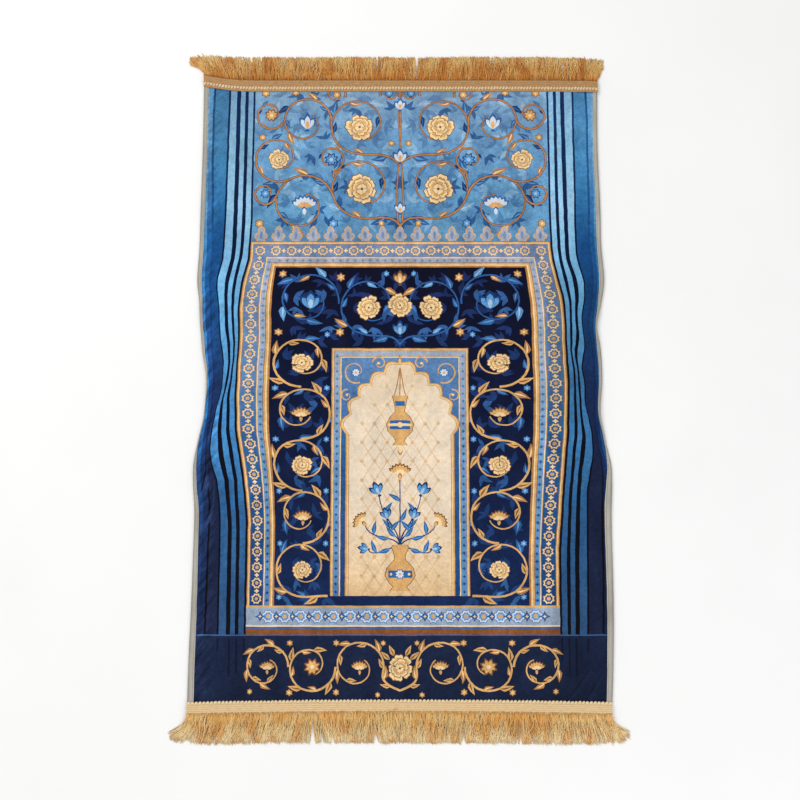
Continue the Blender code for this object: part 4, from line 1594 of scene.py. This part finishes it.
def yarn_roots(rng, low, high):
    """Where each yarn of an end is rooted, and its lock's number: even, with a bunch at each corner."""
    locks = YARNS // YARNS_PER_LOCK
    pitch = (high - low) / locks
    roots = []
    for lock in range(locks):
        for _ in range(YARNS_PER_LOCK):
            roots.append((low + (lock + 0.5 + rng.uniform(-LOCK_OVERLAP, LOCK_OVERLAP)) * pitch, lock))
    for _ in range(CORNER_YARNS):
        roots.append((low + CORNER_BUNCH * rng.random() ** CORNER_CROWDS, 0))
        roots.append((high - CORNER_BUNCH * rng.random() ** CORNER_CROWDS, locks - 1))
    return [(min(high - ROOT_MARGIN, max(low + ROOT_MARGIN, x)), lock) for x, lock in roots]


def corner_share(x, low, high):
    """1 at the ends of the fringe, 0 from CORNER_ZONE inwards."""
    return smoothstep(1 - min(x - low, high - x) / CORNER_ZONE)


def parted(tip, root, partings):
    """A tip kept out of the fringe's gaps, on its root's side."""
    for x, half in partings:
        inside_gap = half - abs(tip - x)
        if inside_gap > 0:
            tip = x + math.copysign(half + PARTING_SPREAD * inside_gap, root - x)
    return tip


def yarn_path(rng, root, tip, ease, end, length, root_in, height):
    """One yarn, wavy, from the tape's front down on to the floor."""
    reach = math.sqrt(max(length ** 2 - (tip - root) ** 2, (LEAST_REACH * length) ** 2))
    start_in = rng.uniform(*root_in)
    front = heading_line(root * MM, end) / MM + end * (HEADING_GAP + HEADING_FRONT - start_in)
    over_tape = start_in > OVER_TAPE_FROM
    start_height = rng.uniform(*(OVER_TAPE_HEIGHTS if over_tape else ROOT_HEIGHTS))
    if over_tape:
        start_height += heading_underside(root * MM) - heading_underside(0)
    waves, phase = rng.uniform(*WAVES), rng.uniform(0, math.tau)
    wave = rng.gauss(0, WAVE_SIZE)
    path = []
    for k in range(YARN_PARTS + 1):
        t = k / YARN_PARTS
        x = root + (tip - root) * t ** ease + wave * math.sin(phase + waves * t) * smoothstep(t / WAVES_GROW)
        drop = smoothstep((t - DROP_FROM) / DROP_OVER)
        bow = BOW_HEIGHT * math.sin(math.pi * min(1.0, t / DROP_OVER)) * (1 - t)
        ripple = RIPPLE_HEIGHT * math.sin(2 * phase + RIPPLE_WAVES * t) * t
        z = start_height + (height - start_height) * drop + bow + ripple
        z *= 1 - SETTLES * smoothstep((t - SETTLES_FROM) / SETTLES_OVER)
        path.append(Vector((x, front + end * (reach + start_in) * t, max(YARN_RADIUS + LEAST_GAP, z))))
    return path


def build_fringe(name, end, yarns, lean_rows, partings, seed, material):
    """A thick fringe of fine wavy yarns that cross one another, in loose locks."""
    rng = random.Random(seed)
    low, high = (v / MM for v in heading_span(end))
    length, spread, root_in = yarns
    locks = [(rng.gauss(0, LOCK_LEAN), rng.uniform(-LOCK_LENGTH, LOCK_LENGTH) * spread, rng.random())
             for _ in range(YARNS // YARNS_PER_LOCK)]
    pitch = (high - low) / len(locks)
    rows = [(-x, lean) for x, lean in lean_rows]
    by_chance, by_stray, by_height = TONE_SHARES
    points, faces, tones = [], [], []
    for root, lock in yarn_roots(rng, low, high):
        lock_lean, lock_length, lock_height = locks[lock]
        stray = rng.random() < STRAY_SHARE
        own_lean = rng.gauss(0, STRAY_LEAN if stray else YARN_LEAN)
        gather = LOCK_GATHER * (low + (lock + 0.5) * pitch - root)
        tip = root + gather + along_rows(rows, -root)[0] + lock_lean + own_lean
        tip = parted(tip, root, partings)
        tip = min(high + lean_rows[-1][1] + TIP_OVERHANG, max(low + lean_rows[0][1] - TIP_OVERHANG, tip))
        layer = LAYER_SHARES[0] * lock_height + LAYER_SHARES[1] * rng.random()
        height = YARN_RADIUS + FLOOR_GAP + LAYERS * layer ** LAYER_POWER
        if stray:
            height += STRAY_RISE
        own_length = length + lock_length + spread * rng.gauss(0, YARN_LENGTH)
        corner = corner_share(root, low, high)
        short = CORNER_SHORT[end, -1 if root < 0 else 1] * corner * rng.random() ** SHORT_POWER
        own_length *= 1 - short
        # Painted light: strays and higher yarns get paler tones, lower ones deeper
        tone = by_chance * rng.random() + (by_stray if stray else by_height * height / LAYERS)
        ease = YARN_EASE + CORNER_CURL * corner * (1 - 2 * short)
        path = yarn_path(rng, root, tip, ease, end, own_length, root_in, height)
        add_yarn(points, faces, tones, path, YARN_RADIUS * rng.uniform(*YARN_RADII),
                 min(1.0, max(0.0, tone)))
    if end < 0:
        add_yarn(points, faces, tones, [Vector(p) for p in LOOSE_YARN], YARN_RADIUS, LOOSE_TONE)
    return smooth_object(name, points, faces, material, yarn=tones)


# ---------------------------------------------------------------- materials
class Nodes:
    """A material's nodes, made and joined in one call each."""

    def __init__(self, name):
        self.material = bpy.data.materials.new(name)
        self.material.use_nodes = True
        self.tree = self.material.node_tree
        self.shader = self.tree.nodes["Principled BSDF"]

    def add(self, kind, settings=None, **inputs):
        """A new node. In the names of its inputs, an underscore stands for a space."""
        node = self.tree.nodes.new(kind)
        for key, value in (settings or {}).items():
            setattr(node, key, value)
        for key, value in inputs.items():
            self.put(node, key.replace("_", " "), value)
        return node

    def put(self, node, socket, value):
        """Join another node's socket to an input, or set the input's own value."""
        target = node.inputs[socket]
        if isinstance(value, bpy.types.NodeSocket):
            self.tree.links.new(value, target)
        else:
            target.default_value = value

    def set(self, **inputs):
        """Put values or sockets into the material's shader."""
        for key, value in inputs.items():
            self.put(self.shader, key.replace("_", " "), value)

    def coordinates(self):
        """Object coordinates in metres."""
        return self.add("ShaderNodeTexCoord").outputs["Object"]

    def stretched(self, vector, stretch):
        return self.add("ShaderNodeMapping", Vector=vector, Scale=stretch).outputs[0]

    def place(self, stretch=(1, 1, 1)):
        """Object coordinates, stretched."""
        return self.stretched(self.coordinates(), stretch)

    def attribute(self, name, kind="Vector"):
        return self.add("ShaderNodeAttribute", {"attribute_name": name}).outputs[kind]

    def split(self, vector):
        """The x and y of a vector."""
        return self.add("ShaderNodeSeparateXYZ", Vector=vector).outputs[:2]

    def noise(self, vector, scale, detail=3.0, roughness=0.55):
        return self.add("ShaderNodeTexNoise", Vector=vector, Scale=scale, Detail=detail,
                        Roughness=roughness).outputs["Fac"]

    def wave(self, direction, vector, scale, distortion):
        return self.add("ShaderNodeTexWave", {"bands_direction": direction}, Vector=vector, Scale=scale,
                        Distortion=distortion, Detail=1.0).outputs["Fac"]

    def spread(self, value, span, to):
        """A value that runs over a span, brought to another and held within it."""
        node = self.add("ShaderNodeMapRange", Value=value)
        for socket, number in zip(("From Min", "From Max", "To Min", "To Max"), (*span, *to)):
            node.inputs[socket].default_value = number
        return node.outputs[0]

    def maths(self, operation, first, second=0.0):
        node = self.add("ShaderNodeMath", {"operation": operation})
        self.put(node, 0, first)
        self.put(node, 1, second)
        return node.outputs[0]

    def times(self, first, *others):
        """The product, from left to right."""
        for other in others:
            first = self.maths("MULTIPLY", first, other)
        return first

    def plus(self, first, *others):
        """The sum, from left to right."""
        for other in others:
            first = self.maths("ADD", first, other)
        return first

    def sine(self, value, pace):
        return self.maths("SINE", self.times(value, pace))

    def mix(self, factor, first, second, blend="MIX"):
        node = self.add("ShaderNodeMix", {"data_type": "RGBA", "blend_type": blend})
        self.put(node, 0, factor)
        self.put(node, 6, first)
        self.put(node, 7, second)
        return node.outputs[2]

    def shaded(self, colour, value):
        """A colour times one value for all its parts."""
        grey = self.add("ShaderNodeCombineColor", Red=value, Green=value, Blue=value).outputs[0]
        return self.mix(1.0, colour, grey, "MULTIPLY")

    def ramp(self, factor, stops):
        node = self.add("ShaderNodeValToRGB", Fac=factor)
        elements = node.color_ramp.elements
        while len(elements) < len(stops):
            elements.new(0.5)
        for element, (at, colour) in zip(elements, stops):
            element.position = at
            element.color = linear(colour)
        return node.outputs[0]

    def bump(self, height, distance, strength=1.0, normal=None):
        node = self.add("ShaderNodeBump", Height=height, Distance=distance, Strength=strength)
        if normal:
            self.put(node, "Normal", normal)
        return node.outputs[0]


# The span that most of a noise lies in
MOST = (0.3, 0.7)
# The pile's noises: scale, detail, roughness
TUFTS = (520, 2.0, 0.7)
MOTTLE = (150, 4.0, 0.65)
BRUSHED = (1.0, 4.0, 0.6)
BRUSHED_STRETCH = (38, 11, 30)
PATCHES = (22, 3.0, 0.5)
# Painted sheen in slanting streaks on the left border: their turn, their size (m), their noise and its span
STROKES_TURN = math.radians(-38)
STROKES_SIZE = (0.007, 0.045, 0.02)
STROKES = (1.0, 3.0, 0.6)
STROKES_SPAN = ((0.36, 0.7), (-0.35, 1.0))
LEFT_FROM = ((-0.28, -0.3), (0.0, 1.0))
LEFT_ALONG = ((0.05, 0.25), (1.0, 0.35))
# Painted sheen and shade on the right border: brighter at the top, then darker, then as elsewhere
RIGHT_FROM = ((0.228, 0.24), (0.0, 1.0))
RIGHT_PAINTED_SHEEN = ((0.22, 0.38), (0.0, 0.26))
RIGHT_PAINTED_SHADE = ((0.21, 0.15), (0.0, -0.38))
RIGHT_CLEARS = ((-0.02, -0.12), (0.0, 0.2))
# Pale inks take less of the pile's light and shade
PALE_EVENS = ((0.25, 0.75), (0.0, 0.62))


def plush_material():
    """Short cut pile: the print, mottled by the nap, brushed in streaks, with a faint sheen, and painted
    sheen and shade on its borders.
    """
    n = Nodes("plush")
    place = n.place()
    tufts, mottle, patches = n.noise(place, *TUFTS), n.noise(place, *MOTTLE), n.noise(place, *PATCHES)
    brushed = n.noise(n.place(BRUSHED_STRETCH), *BRUSHED)
    light = n.times(n.spread(tufts, MOST, (0.8, 1.2)), n.spread(mottle, MOST, (0.76, 1.24)),
                    n.spread(brushed, (0.32, 0.68), (0.88, 1.14)), n.spread(patches, MOST, (0.9, 1.1)))
    coordinates = n.coordinates()
    x, y = n.split(coordinates)
    slanted = n.add("ShaderNodeMapping", {"vector_type": "TEXTURE"}, Vector=coordinates,
                    Rotation=(0, 0, STROKES_TURN), Scale=STROKES_SIZE).outputs[0]
    # Painted sheen: slanting streaks, lighter and darker, over the left border
    sheen_streaks = n.spread(n.noise(slanted, *STROKES), *STROKES_SPAN)
    left = n.times(n.spread(x, *LEFT_FROM), n.spread(y, *LEFT_ALONG))
    light = n.times(light, n.plus(n.times(sheen_streaks, left), 1.0))
    # Painted sheen at the top of the right border, painted shade below it
    painted_shade_right = n.plus(n.spread(y, *RIGHT_PAINTED_SHADE), n.spread(y, *RIGHT_CLEARS))
    right = n.times(n.spread(x, *RIGHT_FROM), n.plus(n.spread(y, *RIGHT_PAINTED_SHEEN), painted_shade_right))
    light = n.times(light, n.plus(right, 1.0))
    ink = n.attribute("print", "Color")
    even = n.spread(n.add("ShaderNodeRGBToBW", Color=ink).outputs[0], *PALE_EVENS)
    light = n.plus(n.times(light, n.maths("SUBTRACT", 1.0, even)), even)
    n.set(Base_Color=n.shaded(ink, light), Roughness=n.spread(mottle, MOST, (0.78, 0.95)),
          Specular_IOR_Level=0.07, Sheen_Weight=0.06, Sheen_Roughness=0.4, Sheen_Tint=(0.7, 0.84, 1.0, 1.0))
    lay = n.plus(n.times(brushed, 0.55), n.times(mottle, 0.45))
    n.set(Normal=n.bump(tufts, 0.0006, 0.6, n.bump(lay, 0.0016, 0.7)))
    return n.material


def backing_material():
    """The knitted back of the plush: off-white loops in rows."""
    n = Nodes("plush_backing")
    place = n.place()
    knit = n.times(n.wave("X", place, 210, 1.5), n.wave("Y", place, 300, 2.0))
    worn = n.noise(place, 30)
    colour = n.ramp(n.plus(n.times(knit, 0.5), n.times(worn, 0.5)),
                    [(0.1, (168, 168, 164)), (0.9, (224, 224, 220))])
    n.set(Base_Color=colour, Roughness=n.spread(worn, MOST, (0.8, 0.95)), Sheen_Weight=0.1,
          Normal=n.bump(knit, 0.0003, 0.5))
    return n.material


# The satin's colours from worn to clean, and the painted shade and painted highlight over its fold, from the
# inner roll outwards
SATIN = [(0.3, (172, 166, 155)), (0.55, (194, 189, 178)), (0.75, (212, 207, 196))]
SATIN_FOLD_PAINTED_LIGHT = [(0.0, (205, 205, 205)), (0.1, (255, 255, 255)), (0.2, (255, 255, 255)), (0.27, (176, 176, 174)),
              (0.36, (238, 238, 236)), (0.62, (228, 228, 226)), (0.85, (196, 196, 196))]


def binding_material():
    """Greige satin tape: fine ribs along it, a painted highlight on the inner roll, painted shade in the
    seam's groove and towards the turned-down edge, stains of wear.
    """
    n = Nodes("binding_tape")
    tape = n.attribute("tape")
    across, along = n.split(tape)
    cloudy, fibre = n.noise(n.place((1, 0.3, 1)), 60), n.noise(tape, 1.6)
    weave = n.plus(n.times(n.sine(across, 9.0), 0.5), n.times(n.sine(along, 7.0), 0.25))
    colour = n.ramp(n.plus(n.times(cloudy, 0.7), n.times(fibre, 0.3)), SATIN)
    # Painted light over the fold: pale on the inner roll, dark at the seam line, darker where the tape turns
    # down
    fold_painted_light = n.ramp(n.maths("DIVIDE", across, BINDING_RUN), SATIN_FOLD_PAINTED_LIGHT)
    n.set(Base_Color=n.mix(1.0, colour, fold_painted_light, "MULTIPLY"), Roughness=n.spread(fibre, MOST, (0.45, 0.6)),
          Sheen_Weight=0.1, Specular_IOR_Level=0.3, Normal=n.bump(weave, 0.0002, 0.5))
    return n.material


def thread_material():
    """Sewing thread of the seam, a little darker in its twist."""
    n = Nodes("seam_thread")
    twist = n.noise(n.place(), 900, 2.0)
    n.set(Base_Color=n.ramp(twist, [(0.3, (168, 160, 146)), (0.7, (206, 199, 184))]),
          Roughness=n.spread(twist, MOST, (0.45, 0.65)), Normal=n.bump(twist, 0.0002, 0.5))
    return n.material


def heading_material(name, sizes, dark, middle, pale):
    """Rayon tape of the heading: picks across it, its yarns unevenly dyed, with painted shade between its
    cords.
    """
    n = Nodes(name)
    tape = n.attribute("tape")
    along, inboard = n.split(tape)
    uneven = n.noise(n.stretched(tape, (0.12, 1.4, 1)), 1.0, 4.0, 0.6)
    colour = n.ramp(uneven, [(0.28, dark), (0.5, middle), (0.74, pale)])
    first_valley = sizes[1] - sizes[2] - CORD_START
    cords = n.sine(n.maths("SUBTRACT", first_valley, inboard), math.pi / CORD_PITCH)
    # Painted shade in the grooves between the woven cords
    cord_painted_shade = n.spread(n.maths("ABSOLUTE", cords), (0.0, 0.7), (0.74, 1.06))
    n.set(Base_Color=n.shaded(colour, cord_painted_shade), Roughness=n.spread(uneven, MOST, (0.45, 0.6)),
          Sheen_Weight=0.2, Normal=n.bump(n.sine(along, 6.0), 0.00015, 0.4))
    return n.material


def bead_material(name, dark, middle, pale):
    """The yarn of the beads."""
    n = Nodes(name)
    yarn = n.noise(n.place((1, 2.5, 1)), 420)
    n.set(Base_Color=n.ramp(yarn, [(0.3, dark), (0.5, middle), (0.7, pale)]),
          Roughness=n.spread(yarn, MOST, (0.38, 0.55)), Sheen_Weight=0.2, Normal=n.bump(yarn, 0.0004, 0.5))
    return n.material


# How each yarn's tone deepens or pales it: partly at random, partly painted light by its height
YARN_TONES = [(0.0, (220, 198, 166)), (0.45, (248, 242, 230)), (0.8, (255, 255, 252))]


def yarn_material(name, root, body, tip, warm):
    """Rayon fringe yarn: deeper at the root as painted shade, paler at the tip, each yarn from orange to pale
    gold, the higher ones painted paler.
    """
    n = Nodes(name)
    tone, along = n.split(n.attribute("yarn"))
    lengthwise = n.ramp(along, [(0.0, root), (0.35, body), (1.0, tip)])
    clumps = n.spread(n.noise(n.place((1, 0.5, 1)), 48), (0.45, 0.62), (0.0, 0.85))
    dyed = n.mix(1.0, n.mix(clumps, lengthwise, linear(warm)), n.ramp(tone, YARN_TONES), "MULTIPLY")
    pale = n.mix(n.spread(tone, (0.72, 1.0), (0.0, 0.7)), dyed, linear(tip))
    fibre = n.noise(n.place((1, 0.25, 1)), 1400, 2.0)
    n.set(Base_Color=pale, Roughness=n.spread(fibre, MOST, (0.4, 0.55)), Specular_IOR_Level=0.35,
          Sheen_Weight=0.08, Normal=n.bump(fibre, 0.0002, 0.4))
    return n.material


def floor_material():
    """A plain, near-white floor."""
    n = Nodes("studio_floor")
    grain = n.noise(n.place(), 4, 2.0)
    n.set(Base_Color=n.ramp(grain, [(0.3, (246, 246, 246)), (0.7, (249, 249, 249))]), Roughness=0.9,
          Specular_IOR_Level=0.1)
    return n.material


# ---------------------------------------------------------------- the studio
CAMERA_TILT = math.radians(10)
CAMERA_DISTANCE = 2.3
CAMERA_AIM = Vector((0, -0.0216, 0))
CAMERA_LENS = 65.24
CAMERA_SENSOR = 36
FLOOR_SIZE = 6.0
FLOOR_DROP = 0.0002
SKY_LIGHT = 0.62
# Name, place (m), size (m), power (W) and colour; each is aimed at the rug's middle
LIGHTS = (("key", (-1.5, 1.5, 2.3), 1.6, 36, (1.0, 0.985, 0.96)),
          ("fill", (0.9, -1.9, 2.2), 2.2, 24, (0.98, 0.99, 1.0)))


def add_camera():
    """A camera over the rug, tilted as in the photo."""
    data = bpy.data.cameras.new("camera")
    data.lens = CAMERA_LENS
    data.sensor_width = CAMERA_SENSOR
    camera = bpy.data.objects.new("camera", data)
    back = Vector((0, -math.sin(CAMERA_TILT), math.cos(CAMERA_TILT)))
    camera.location = CAMERA_AIM + back * CAMERA_DISTANCE
    camera.rotation_euler = (CAMERA_TILT, 0, 0)
    bpy.context.scene.collection.objects.link(camera)
    bpy.context.scene.camera = camera


def add_light(name, place, size, power, colour):
    """A disc of light aimed at the rug's middle."""
    data = bpy.data.lights.new(name, "AREA")
    data.shape = "DISK"
    data.size = size
    data.energy = power
    data.color = colour
    light = bpy.data.objects.new(name, data)
    light.location = place
    light.rotation_euler = (-Vector(place)).to_track_quat("-Z", "Y").to_euler()
    bpy.context.scene.collection.objects.link(light)


def add_studio():
    """The floor, an even light all round and the two lamps."""
    half = FLOOR_SIZE / 2
    mesh = bpy.data.meshes.new("floor")
    corners = [(-half, -half), (half, -half), (half, half), (-half, half)]
    mesh.from_pydata([(x, y, -FLOOR_DROP) for x, y in corners], [], [(0, 1, 2, 3)])
    new_object("floor", mesh, [floor_material()])
    world = bpy.data.worlds.new("studio")
    world.use_nodes = True
    inputs = world.node_tree.nodes["Background"].inputs
    inputs["Color"].default_value = (1.0, 1.0, 1.0, 1.0)
    inputs["Strength"].default_value = SKY_LIGHT
    bpy.context.scene.world = world
    for light in LIGHTS:
        add_light(*light)
    bpy.context.scene.view_settings.view_transform = "Standard"


# ---------------------------------------------------------------- putting it together
# Dark, middle and pale
HEADING_COLOURS = {"top": ((138, 92, 40), (172, 128, 74), (198, 158, 106)),
                   "bottom": ((200, 164, 112), (221, 189, 140), (234, 208, 162))}
BEAD_COLOURS = {"top": ((182, 142, 92), (220, 190, 146), (242, 222, 188)),
                "bottom": ((204, 170, 120), (232, 206, 160), (246, 230, 196))}
# Root, body, tip, and the colour of the warm clumps; the root's deeper colour is painted shade, and the
# bottom end's paler colours are partly painted light that offsets the shade its fringe lies in
YARN_COLOURS = {"top": ((200, 130, 44), (226, 172, 88), (242, 212, 146), (212, 136, 38)),
                "bottom": ((232, 192, 122), (242, 208, 142), (252, 236, 196), (234, 176, 88))}
# Each end's sign and its seeds for the beads and the yarns
ENDS = (("top", 1, 5, 25), ("bottom", -1, 8, 28))


def dress(obj, slot_name, *nodes):
    """A piece of the rug: it rides on the one body, and any parts of model.glb it stands for are hidden."""
    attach(obj, "root")
    if nodes:
        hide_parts(*nodes)
    return obj


def main():
    """Draw the print, build every piece and set up the studio."""
    draw_print()
    panel = dress(build_panel([plush_material(), backing_material()]), "plush", "rug_body")
    satin, thread = binding_material(), thread_material()
    for word, side in (("left", -1), ("right", 1)):
        dress(build_binding(f"binding_tape_{word}", side, satin), "binding_tape",
                            f"binding_{word}")
        dress(build_stitches(f"binding_stitches_{word}", side, thread), "binding_tape")
    for word, end, bead_seed, yarn_seed in ENDS:
        sizes = HEADINGS[word]
        woven = heading_material(f"heading_{word}", sizes, *HEADING_COLOURS[word])
        looped = bead_material(f"beads_{word}", *BEAD_COLOURS[word])
        rayon = yarn_material(f"yarn_{word}", *YARN_COLOURS[word])
        heading = build_heading(f"heading_tape_{word}", end, sizes, woven)
        beads = build_beads(f"heading_beads_{word}", end, sizes, BEADS[word], bead_seed, looped)
        yarns = build_fringe(f"fringe_yarns_{word}", end, YARN_SIZES[word], LEANS[word], PARTINGS[word],
                             yarn_seed, rayon)
        for piece in (heading, beads, yarns):
            dress(piece, "fringe_yarn", f"fringe_{word}")
    add_studio()
    add_camera()


main()
bpy.context.view_layer.update()
